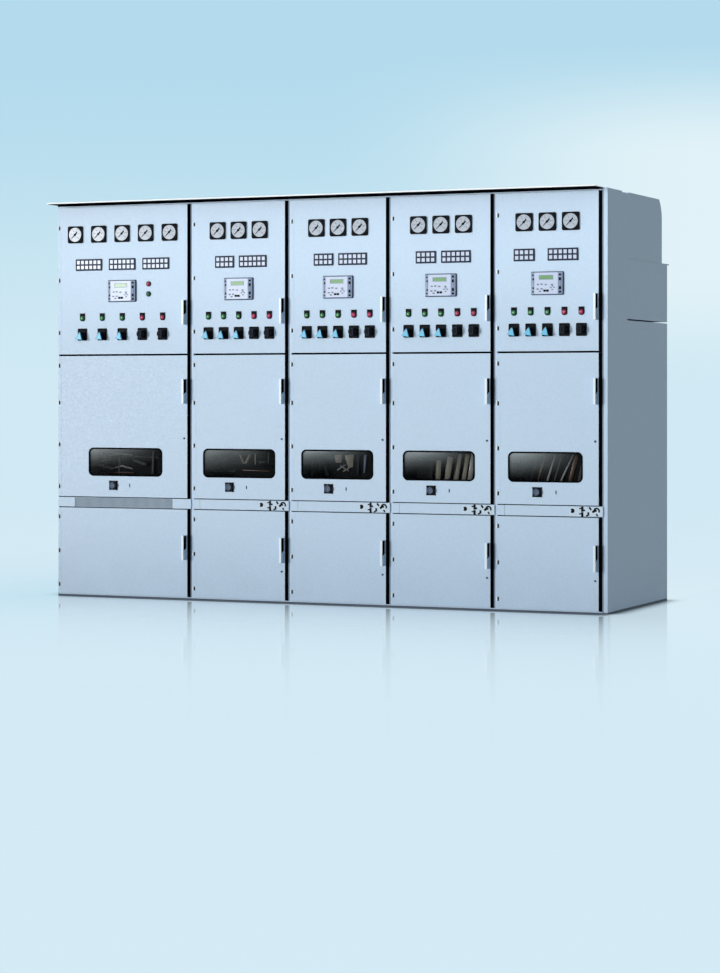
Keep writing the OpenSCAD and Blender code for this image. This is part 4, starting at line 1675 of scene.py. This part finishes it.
class SWITCHGEAR_OT_shell(bpy.types.Operator):
    """Finishes the ends, the roof, the busbar chamber, the duct, the rear covers and the canopy"""

    bl_idname = "switchgear.shell"
    bl_label = "Ends, roof and rear"

    def execute(self, context):
        for node, name in (
            ("left_end_cover", "left_end"),
            ("right_end_cover", "right_end"),
            ("busbar_chamber", "chamber"),
            ("rear_duct", "duct"),
            ("roof_plates", "roof"),
            ("rear_covers", "rear_sheets"),
        ):
            folded_copy(node, name, SHELL, "paint", paint(), paint_edge(), 1 * MM)
        for node, name, coat in (
            # The canopy's near-white paint is a painted highlight
            ("drip_canopy", "canopy", canopy_highlight_paint()),
            # The base's dark paint is painted shade at the row's foot
            ("base_frame", "base", plinth_paint()),
        ):
            folded_copy(node, name, SHELL, "paint", coat, coat, 1 * MM)
        head = screw_head()
        margin, rows, columns = 22 * MM, 6, 3
        places = []
        for cover in solids_of("rear_covers"):
            across = (cover.size.x - 2 * margin) / (columns - 1)
            up = (cover.size.z - 2 * margin) / (rows - 1)
            for i in range(rows):
                for j in range(columns):
                    if i in (0, rows - 1) or j in (0, columns - 1):
                        x, z = cover.low.x + margin + j * across, cover.low.z + margin + i * up
                        places.append(Vector((x, cover.high.y, z)))
        hand_over(copies(head, places), "rear_screws", SHELL, "hinge_steel")
        self.line_canopy()
        foot = largest(f"lower_door_{FIRST}").low.z
        self.strip("sill_strip", foot - 5.5 * MM, foot - 0.8 * MM)
        return {"FINISHED"}

    def strip(self, name, foot, head):
        """A painted strip along the whole front, just behind the doors' faces."""
        right = largest("drip_canopy").high.x - 3 * MM
        piece = block(
            (FRONT_LEFT, FACE_Y + 0.5 * MM, foot), (right, FACE_Y + 6 * MM, head), paint()
        )
        break_edges(piece, 0.8 * MM, 2, paint_edge())
        hand_over(piece, name, SHELL, "paint")

    def line_canopy(self):
        """A black sheet under the canopy and a black strip over the doors' tops, both painted shade, and
        the strip in cabinet paint over the doors' heads.
        """
        canopy, roof = largest("drip_canopy"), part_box("roof_plates")[0]
        top, margin = canopy.low.z, 3 * MM
        right = canopy.high.x - margin
        # Painted shade: a black sheet on the canopy's underside
        shade_lining = block(
            (canopy.low.x + margin, canopy.low.y + margin, top - 1.2 * MM),
            (right, roof[1] - 0.5 * MM, top),
            rubber(),
        )
        sink(shade_lining, downward, 4 * MM, 0)
        seam = top - 7 * MM
        # Painted shade: a black strip between the doors' tops and the canopy
        shade_seal = block(
            (FRONT_LEFT, FACE_Y + 1.5 * MM, seam + 0.3 * MM),
            (right, FACE_Y + 5.5 * MM, top - 1.5 * MM),
            rubber(),
        )
        break_edges(shade_seal, 0.5 * MM, 1)
        hand_over(joined(shade_seal, shade_lining), "canopy_lining", SHELL, "black_plastic")
        self.strip("head_strip", largest(f"upper_door_{FIRST}").high.z + 0.8 * MM, seam)


class SWITCHGEAR_OT_inside(bpy.types.Operator):
    """Paints the sheets inside the cubicles and builds the breakers behind the windows"""

    bl_idname = "switchgear.inside"
    bl_label = "Inside"

    def execute(self, context):
        for node, coat in (
            # Black door frames: painted shade in the gaps round the doors
            ("door_frames", rubber()),
            ("partitions", paint()),
            ("shelves", paint()),
            ("rear_barriers", paint()),
        ):
            for slot in frame["nodes"][node].material_slots:
                slot.material = coat
        steel = breaker_steel()
        folded_copy("breaker_trucks", "breakers", SHELL, "breaker", steel, steel, 2 * MM)
        trucks = solids_of("breaker_trucks")
        for k in CUBICLES:
            view = window_of(k)
            near = [t for t in trucks if abs(t.middle.x - view.middle.x) < view.size.x / 2]
            reach = min(t.low.y for t in near) - FACE_Y
            # What a window shows stands to its left, because it is looked at from the right
            for corner in (view.low, view.high):
                corner.x -= self.aside[k - 1] * reach
            parts = [self.limb(view, FACE_Y + reach, *row) for row in self.fronts[k - 1]]
            hand_over(joined(*parts), f"breaker_front_{k}", SHELL, "breaker")
        return {"FINISHED"}

    # How far the parts seen in each window stand to its left, as a share of their depth
    aside = (0.52, 0.47, 0.42, 0.37, 0.33)
    # Parts on each breaker's front: start and end across and down the window, widths at both
    # ends and depth in millimetres, sides and finish
    fronts = (
        (
            (0.20, 0.17, 0.60, 0.27, 16, 7, 14, 14, sleeve_grey),
            (0.22, 0.34, 0.46, 0.22, 7, 13, 14, 14, sleeve_grey),
            (0.46, 0.30, 0.95, 0.36, 7, 5, 10, 14, bracket_grey),
            (0.18, 0.50, 0.31, 0.43, 20, 14, 20, 14, sleeve_grey),
            (0.16, 0.68, 0.32, 0.76, 9, 15, 14, 14, sleeve_grey),
            (0.32, 0.76, 0.46, 0.66, 12, 9, 14, 14, sleeve_grey),
            (0.44, 0.65, 0.60, 0.76, 12, 9, 14, 14, sleeve_grey),
            (0.41, 0.38, 0.41, 0.97, 3, 3, 6, 4, sleeve_grey),
            (0.15, 0.90, 0.62, 0.90, 7, 7, 10, 4, insulator),
            (0.89, 0.12, 0.88, 0.93, 9, 12, 14, 4, bracket_grey),
            (0.62, 0.45, 0.80, 0.60, 12, 22, 20, 14, bracket_grey),
        ),
        (
            (0.06, 0.42, 0.14, 0.38, 22, 14, 16, 14, strip_beige),
            (0.24, 0.44, 0.34, 0.40, 16, 12, 16, 14, bracket_grey),
            (0.52, 0.22, 0.57, 0.54, 16, 8, 14, 14, strip_beige),
            (0.66, 0.20, 0.60, 0.52, 12, 20, 14, 14, strip_beige),
            (0.73, 0.18, 0.73, 0.55, 7, 7, 10, 4, strip_beige),
            (0.92, 0.15, 0.91, 0.52, 8, 8, 10, 4, bracket_grey),
            (0.78, 0.48, 0.88, 0.46, 14, 10, 12, 14, bracket_grey),
            (-0.06, 0.62, 1.06, 0.62, 12, 12, 26, 4, black),
            (0.10, 0.80, 0.45, 0.80, 8, 8, 10, 4, bracket_grey),
            (0.55, 0.76, 0.92, 0.78, 6, 6, 10, 4, insulator),
        ),
        (
            (0.04, 0.22, 0.04, 0.55, 22, 16, 14, 4, sleeve_grey),
            (0.16, 0.30, 0.15, 0.90, 14, 20, 14, 14, bracket_grey),
            (0.24, 0.35, 0.26, 0.75, 20, 12, 14, 14, bracket_grey),
            (0.33, 0.55, 0.36, 0.92, 16, 20, 14, 14, bracket_grey),
            (0.52, 0.18, 0.52, 0.46, 48, 34, 12, 4, strip_beige),
            (0.67, 0.18, 0.69, 0.62, 56, 30, 12, 4, strip_beige),
            (0.50, 0.72, 0.62, 0.52, 5, 5, 8, 4, sleeve_grey),
            (0.54, 0.56, 0.66, 0.74, 5, 5, 8, 4, sleeve_grey),
            (0.58, 0.76, 0.70, 0.58, 5, 5, 8, 4, sleeve_grey),
            (0.80, 0.20, 0.79, 0.90, 14, 14, 10, 4, slate),
            (0.90, 0.18, 0.88, 0.80, 16, 10, 12, 4, bezel_grey),
        ),
        (
            (0.30, 0.40, 0.30, 0.96, 92, 92, 8, 4, bracket_grey),
            (0.02, 0.33, 0.56, 0.30, 10, 10, 20, 4, black),
            (0.44, 0.25, 0.42, 1.02, 7, 7, 22, 4, black),
            (0.50, 0.30, 0.48, 1.00, 32, 30, 8, 4, strip_beige),
            (0.57, 0.25, 0.55, 1.02, 8, 8, 22, 4, black),
            (0.66, 0.22, 0.61, 1.00, 32, 34, 8, 4, strip_beige),
            (0.75, 0.10, 0.67, 1.02, 7, 8, 22, 4, black),
            (0.79, 0.12, 0.73, 1.00, 28, 30, 8, 4, strip_beige),
            (0.85, 0.08, 0.79, 1.02, 6, 6, 20, 4, black),
            (0.90, 0.12, 0.84, 1.00, 26, 26, 8, 4, strip_beige),
            (0.98, 0.10, 0.93, 1.00, 24, 26, 8, 4, sleeve_grey),
            (0.40, 0.97, 0.43, 0.95, 9, 7, 16, 14, dial_white),
            (0.60, 0.97, 0.65, 0.95, 9, 9, 16, 14, dial_white),
        ),
        (
            (0.08, 0.10, 0.00, 0.60, 16, 12, 10, 4, strip_beige),
            (0.26, 0.10, 0.14, 0.90, 34, 26, 8, 4, bracket_grey),
            (0.40, 0.12, 0.30, 1.00, 16, 14, 8, 4, bracket_grey),
            (0.50, 0.15, 0.40, 1.00, 12, 10, 8, 4, insulator),
            (0.64, 0.10, 0.53, 1.00, 7, 11, 12, 4, sleeve_grey),
            (0.72, 0.15, 0.62, 1.00, 10, 8, 8, 4, bracket_grey),
            (0.88, 0.10, 0.71, 1.00, 7, 9, 12, 4, sleeve_grey),
            (0.92, 0.15, 0.83, 1.00, 20, 18, 8, 4, insulator),
            (1.02, 0.10, 0.95, 1.00, 14, 12, 8, 4, bracket_grey),
        ),
    )

    def limb(self, view, rear, x0, z0, x1, z1, wide, narrow, deep, sides, finish):
        """A tapered bar on a breaker's front, between two points of the window's view."""
        start, end = (
            Vector((view.low.x + x * view.size.x, 0, view.high.z - z * view.size.z))
            for x, z in ((x0, z0), (x1, z1))
        )
        along, flat = end - start, cos(pi / sides)
        deselect()
        bpy.ops.mesh.primitive_cone_add(
            vertices=sides,
            radius1=wide * MM / 2 / flat,
            radius2=narrow * MM / 2 / flat,
            depth=along.length,
            rotation=(0, 0, pi / sides),
        )
        piece = seat(bpy.context.object)
        piece.data.materials.append(finish())
        piece.scale.y = deep / wide
        piece.rotation_euler.y = atan2(along.x, along.z)
        piece.location = (start + end) / 2 + Vector((0, rear - deep / 2 * MM, 0))
        return smooth(break_edges(seat(piece), 0.8 * MM, 2))


# ---- stage ----

# The floor's disc, the reach of the shadow painted into the floor where the row meets it, the share of
# the gloss that is left a metre out from the base, and how far the weaker gloss slants aside per metre
FLOOR_RADIUS, CONTACT_REACH, GLOSS_LEFT, GLOSS_SLANT = 30, 0.14, 0.435, 0.33
# The camera sees this far and the floor fades out between these distances from the base
SIGHT, FADE_FROM, FADE_TO = 200, 3.0, 14.0


def add_shader(tree, kind, **inputs):
    """Adds a shader node and gives its output."""
    return put(tree, f"ShaderNode{kind}", **inputs).outputs[0]


def mix_shaders(tree, factor, first, second):
    """One shader from two, of which the second takes the factor's share."""
    mix = put(tree, "ShaderNodeMixShader", Fac=factor)
    wire(tree, first, mix.inputs[1])
    wire(tree, second, mix.inputs[2])
    return mix.outputs[0]


def sun(name, azimuth, elevation, spread_angle, strength, tint):
    """A level studio light, azimuth to the left of straight in front."""
    deselect()
    bpy.ops.object.light_add(type="SUN", rotation=(pi / 2 - elevation, 0, -azimuth))
    lamp = bpy.context.object
    lamp.name = name
    lamp.data.angle = spread_angle
    lamp.data.energy = strength
    lamp.data.color = tint
    return lamp


def panel_lamp(name, place, aim, size, strength):
    """A broad lamp that gives its share of light where it is aimed at on the doors."""
    ray = Vector(aim) - Vector(place)
    deselect()
    bpy.ops.object.light_add(type="AREA", location=place)
    lamp = bpy.context.object
    lamp.name = name
    lamp.rotation_euler = ray.to_track_quat("-Z", "Y").to_euler()
    lamp.data.shape = "RECTANGLE"
    lamp.data.size, lamp.data.size_y = size
    lamp.data.energy = strength * pi * pi * ray.length_squared / ray.normalized().y
    return lamp


class SWITCHGEAR_OT_stage(bpy.types.Operator):
    """Lays the pale floor, hangs the backdrop, sets the lights and places the camera"""

    bl_idname = "switchgear.stage"
    bl_label = "Stage"

    def execute(self, context):
        stage = context.scene.switchgear_stage
        self.lay_floor(stage)
        self.hang_backdrop(stage)
        self.set_lights(stage)
        self.place_camera(stage)
        context.scene.view_settings.view_transform = "Standard"
        return {"FINISHED"}

    def seen(self, tree):
        """1 for rays that show the backdrop: from the camera, off gloss and through glass."""
        path = put(tree, "ShaderNodeLightPath").outputs
        either = calc(tree, "MAXIMUM", path["Is Camera Ray"], path["Is Glossy Ray"])
        return calc(tree, "MAXIMUM", either, path["Is Transmission Ray"])

    def lay_floor(self, stage):
        """A pale floor with a painted shadow at the row's foot, which mirrors the row and fades into the
        backdrop.
        """
        deselect()
        bpy.ops.mesh.primitive_circle_add(vertices=96, radius=FLOOR_RADIUS, fill_type="NGON")
        floor = bpy.context.object
        floor.name = "floor"
        material = bpy.data.materials.new("floor")
        material.use_nodes = True
        tree = material.node_tree
        tree.nodes.clear()
        place = put(tree, "ShaderNodeTexCoord").outputs["Object"]
        far = self.distance_from_base(tree, place)
        # Painted shadow: ambient occlusion darkens the floor's glow near the row
        contact_shadow = put(tree, "ShaderNodeAmbientOcclusion", Distance=CONTACT_REACH)
        contact_shadow.samples = 16
        dark = spread(tree, contact_shadow.outputs["AO"], 0.52, 0.99, 0.05, 1.0)
        bright = calc(tree, "MULTIPLY", dark, 1.15)
        pale = add_shader(tree, "Emission", Color=stage.floor, Strength=bright)
        lit = add_shader(tree, "BsdfDiffuse", Color=stage.floor)
        mirror = add_shader(tree, "BsdfGlossy", Color=(0.98, 0.98, 0.98), Roughness=0.045)
        shine = self.shine(tree, place, far, stage.reflection)
        shown = mix_shaders(tree, shine, mix_shaders(tree, 0.18, pale, lit), mirror)
        # What the row itself receives from the floor
        bounce = tree.nodes.new("ShaderNodeAddShader")
        matt = add_shader(tree, "BsdfDiffuse", Color=(0.60, 0.62, 0.64))
        lift = add_shader(tree, "Emission", Color=(1.0, 1.0, 1.0), Strength=0.12)
        wire(tree, matt, bounce.inputs[0])
        wire(tree, lift, bounce.inputs[1])
        near = mix_shaders(tree, self.seen(tree), bounce.outputs[0], shown)
        clear = add_shader(tree, "BsdfTransparent")
        surface = mix_shaders(tree, spread(tree, far, FADE_FROM, FADE_TO), near, clear)
        wire(tree, surface, put(tree, "ShaderNodeOutputMaterial").inputs["Surface"])
        floor.data.materials.append(material)

    def shine(self, tree, place, far, reflection):
        """Strength of the floor's gloss.

        It falls off away from the base and is weaker beside the right end, past a line that
        slants out from the front corner.
        """
        axes = put(tree, "ShaderNodeSeparateXYZ", Vector=place).outputs
        ahead = calc(tree, "MAXIMUM", calc(tree, "SUBTRACT", FACE_Y, axes["Y"]), 0.0)
        past = calc(tree, "SUBTRACT", axes["X"], CAD_BOX[1][0])
        past = calc(tree, "SUBTRACT", past, calc(tree, "MULTIPLY", ahead, GLOSS_SLANT))
        beside = spread(tree, past, -0.02, 0.03, 1.0, 0.40)
        shine = calc(tree, "MULTIPLY", calc(tree, "POWER", GLOSS_LEFT, far), beside)
        return calc(tree, "MULTIPLY", shine, reflection, clamp=True)

    def distance_from_base(self, tree, place):
        """Distance on the floor from the rectangle that the row stands on."""
        low, high = CAD_BOX
        axes = put(tree, "ShaderNodeSeparateXYZ", Vector=place).outputs
        beyond = []
        for axis, half, middle in (
            ("X", (high[0] - low[0]) / 2, (high[0] + low[0]) / 2),
            ("Y", abs(FACE_Y), 0.0),
        ):
            away = calc(tree, "ABSOLUTE", calc(tree, "SUBTRACT", axes[axis], middle))
            beyond.append(calc(tree, "MAXIMUM", calc(tree, "SUBTRACT", away, half), 0.0))
        squares = [calc(tree, "MULTIPLY", b, b) for b in beyond]
        return calc(tree, "SQRT", calc(tree, "ADD", *squares))

    def hang_backdrop(self, stage):
        """A plain blend of colours for the camera, and an even light for everything else."""
        scene = bpy.context.scene
        world = scene.world or bpy.data.worlds.new("studio")
        scene.world = world
        world.use_nodes = True
        tree = world.node_tree
        tree.nodes.clear()
        gaze = put(tree, "ShaderNodeTexCoord").outputs["Generated"]
        axes = put(tree, "ShaderNodeSeparateXYZ", Vector=gaze).outputs
        rise = spread(tree, axes["Z"], 0.0, 0.13)
        base = blend_colours(tree, rise, stage.horizon, stage.sky)
        low = spread(tree, axes["Z"], -0.20, -0.02, 1.0, 0.0)
        base = blend_colours(tree, low, base, stage.floor)
        # The brighter side lies to the right of where the camera looks
        to_right = calc(tree, "MULTIPLY", axes["X"], cos(stage.camera_turn))
        to_rear = calc(tree, "MULTIPLY", axes["Y"], sin(stage.camera_turn))
        side = spread(tree, calc(tree, "ADD", to_right, to_rear), -0.02, 0.13)
        foot = spread(tree, axes["Z"], 0.0, 0.045)
        head = spread(tree, axes["Z"], 0.09, 0.135, 1.0, 0.0)
        glow = calc(tree, "MULTIPLY", side, calc(tree, "MULTIPLY", foot, head))
        drop = blend_colours(tree, glow, base, stage.glow)
        light = add_shader(tree, "Background", Color=(1.0, 0.975, 0.965), Strength=stage.ambient)
        shown = add_shader(tree, "Background", Color=drop, Strength=1.0)
        surface = mix_shaders(tree, self.seen(tree), light, shown)
        wire(tree, surface, put(tree, "ShaderNodeOutputWorld").inputs["Surface"])

    def set_lights(self, stage):
        """A level light from the front left and two lamps over the upper doors."""
        azimuth, elevation = radians(37), radians(2)
        # A surface that faces the front gets the strength that the setting says
        strength = pi * stage.front_light / (cos(azimuth) * cos(elevation))
        sun("front_light", azimuth, elevation, radians(16), strength, (1.0, 0.99, 0.975))
        aim = (0.4, FACE_Y, 1.9)
        panel_lamp("top_light", (1.5, -5.0, 4.3), aim, (4.0, 2.0), stage.top_light)
        aim = (0.4, FACE_Y, 1.95)
        upper = panel_lamp("door_light", (0.4, -4.8, 2.5), aim, (4.6, 0.5), stage.door_light)
        upper.data.spread = radians(16)

    def place_camera(self, stage):
        deselect()
        bpy.ops.object.camera_add(
            location=stage.camera_place, rotation=(pi / 2, 0, stage.camera_turn)
        )
        camera = bpy.context.object
        camera.name = "camera"
        camera.data.lens = stage.focal_length
        camera.data.shift_y = stage.camera_drop
        camera.data.clip_end = SIGHT
        bpy.context.scene.camera = camera


# ---- the add-on ----

STEPS = (
    SWITCHGEAR_OT_stage,
    SWITCHGEAR_OT_shell,
    SWITCHGEAR_OT_front,
    SWITCHGEAR_OT_grille,
    SWITCHGEAR_OT_plates,
    SWITCHGEAR_OT_inside,
    SWITCHGEAR_OT_doors,
    SWITCHGEAR_OT_handles,
    SWITCHGEAR_OT_windows,
    SWITCHGEAR_OT_instruments,
    SWITCHGEAR_OT_controls,
)
SETTINGS = {
    "switchgear_colours": SwitchgearColours,
    "switchgear_doors": DoorSizes,
    "switchgear_instruments": InstrumentSizes,
    "switchgear_stage": StageSettings,
}


class VIEW3D_PT_switchgear(bpy.types.Panel):
    """Lists the steps and the settings in the sidebar"""

    bl_label = "Marine switchgear"
    bl_idname = "VIEW3D_PT_switchgear"
    bl_space_type = "VIEW_3D"
    bl_region_type = "UI"
    bl_category = "Switchgear"

    def draw(self, context):
        column = self.layout.column(align=True)
        for step in STEPS:
            column.operator(step.bl_idname)
        for name, group in SETTINGS.items():
            part = self.layout.box()
            for prop in group.__annotations__:
                part.prop(getattr(context.scene, name), prop)


def register():
    for cls in (*SETTINGS.values(), *STEPS, VIEW3D_PT_switchgear):
        bpy.utils.register_class(cls)
    for name, group in SETTINGS.items():
        setattr(bpy.types.Scene, name, bpy.props.PointerProperty(type=group))


def unregister():
    for name in SETTINGS:
        delattr(bpy.types.Scene, name)
    for cls in reversed((*SETTINGS.values(), *STEPS, VIEW3D_PT_switchgear)):
        bpy.utils.unregister_class(cls)


def main():
    register()
    for step in STEPS:
        family, name = step.bl_idname.split(".")
        getattr(getattr(bpy.ops, family), name)()


if __name__ == "__main__":
    main()
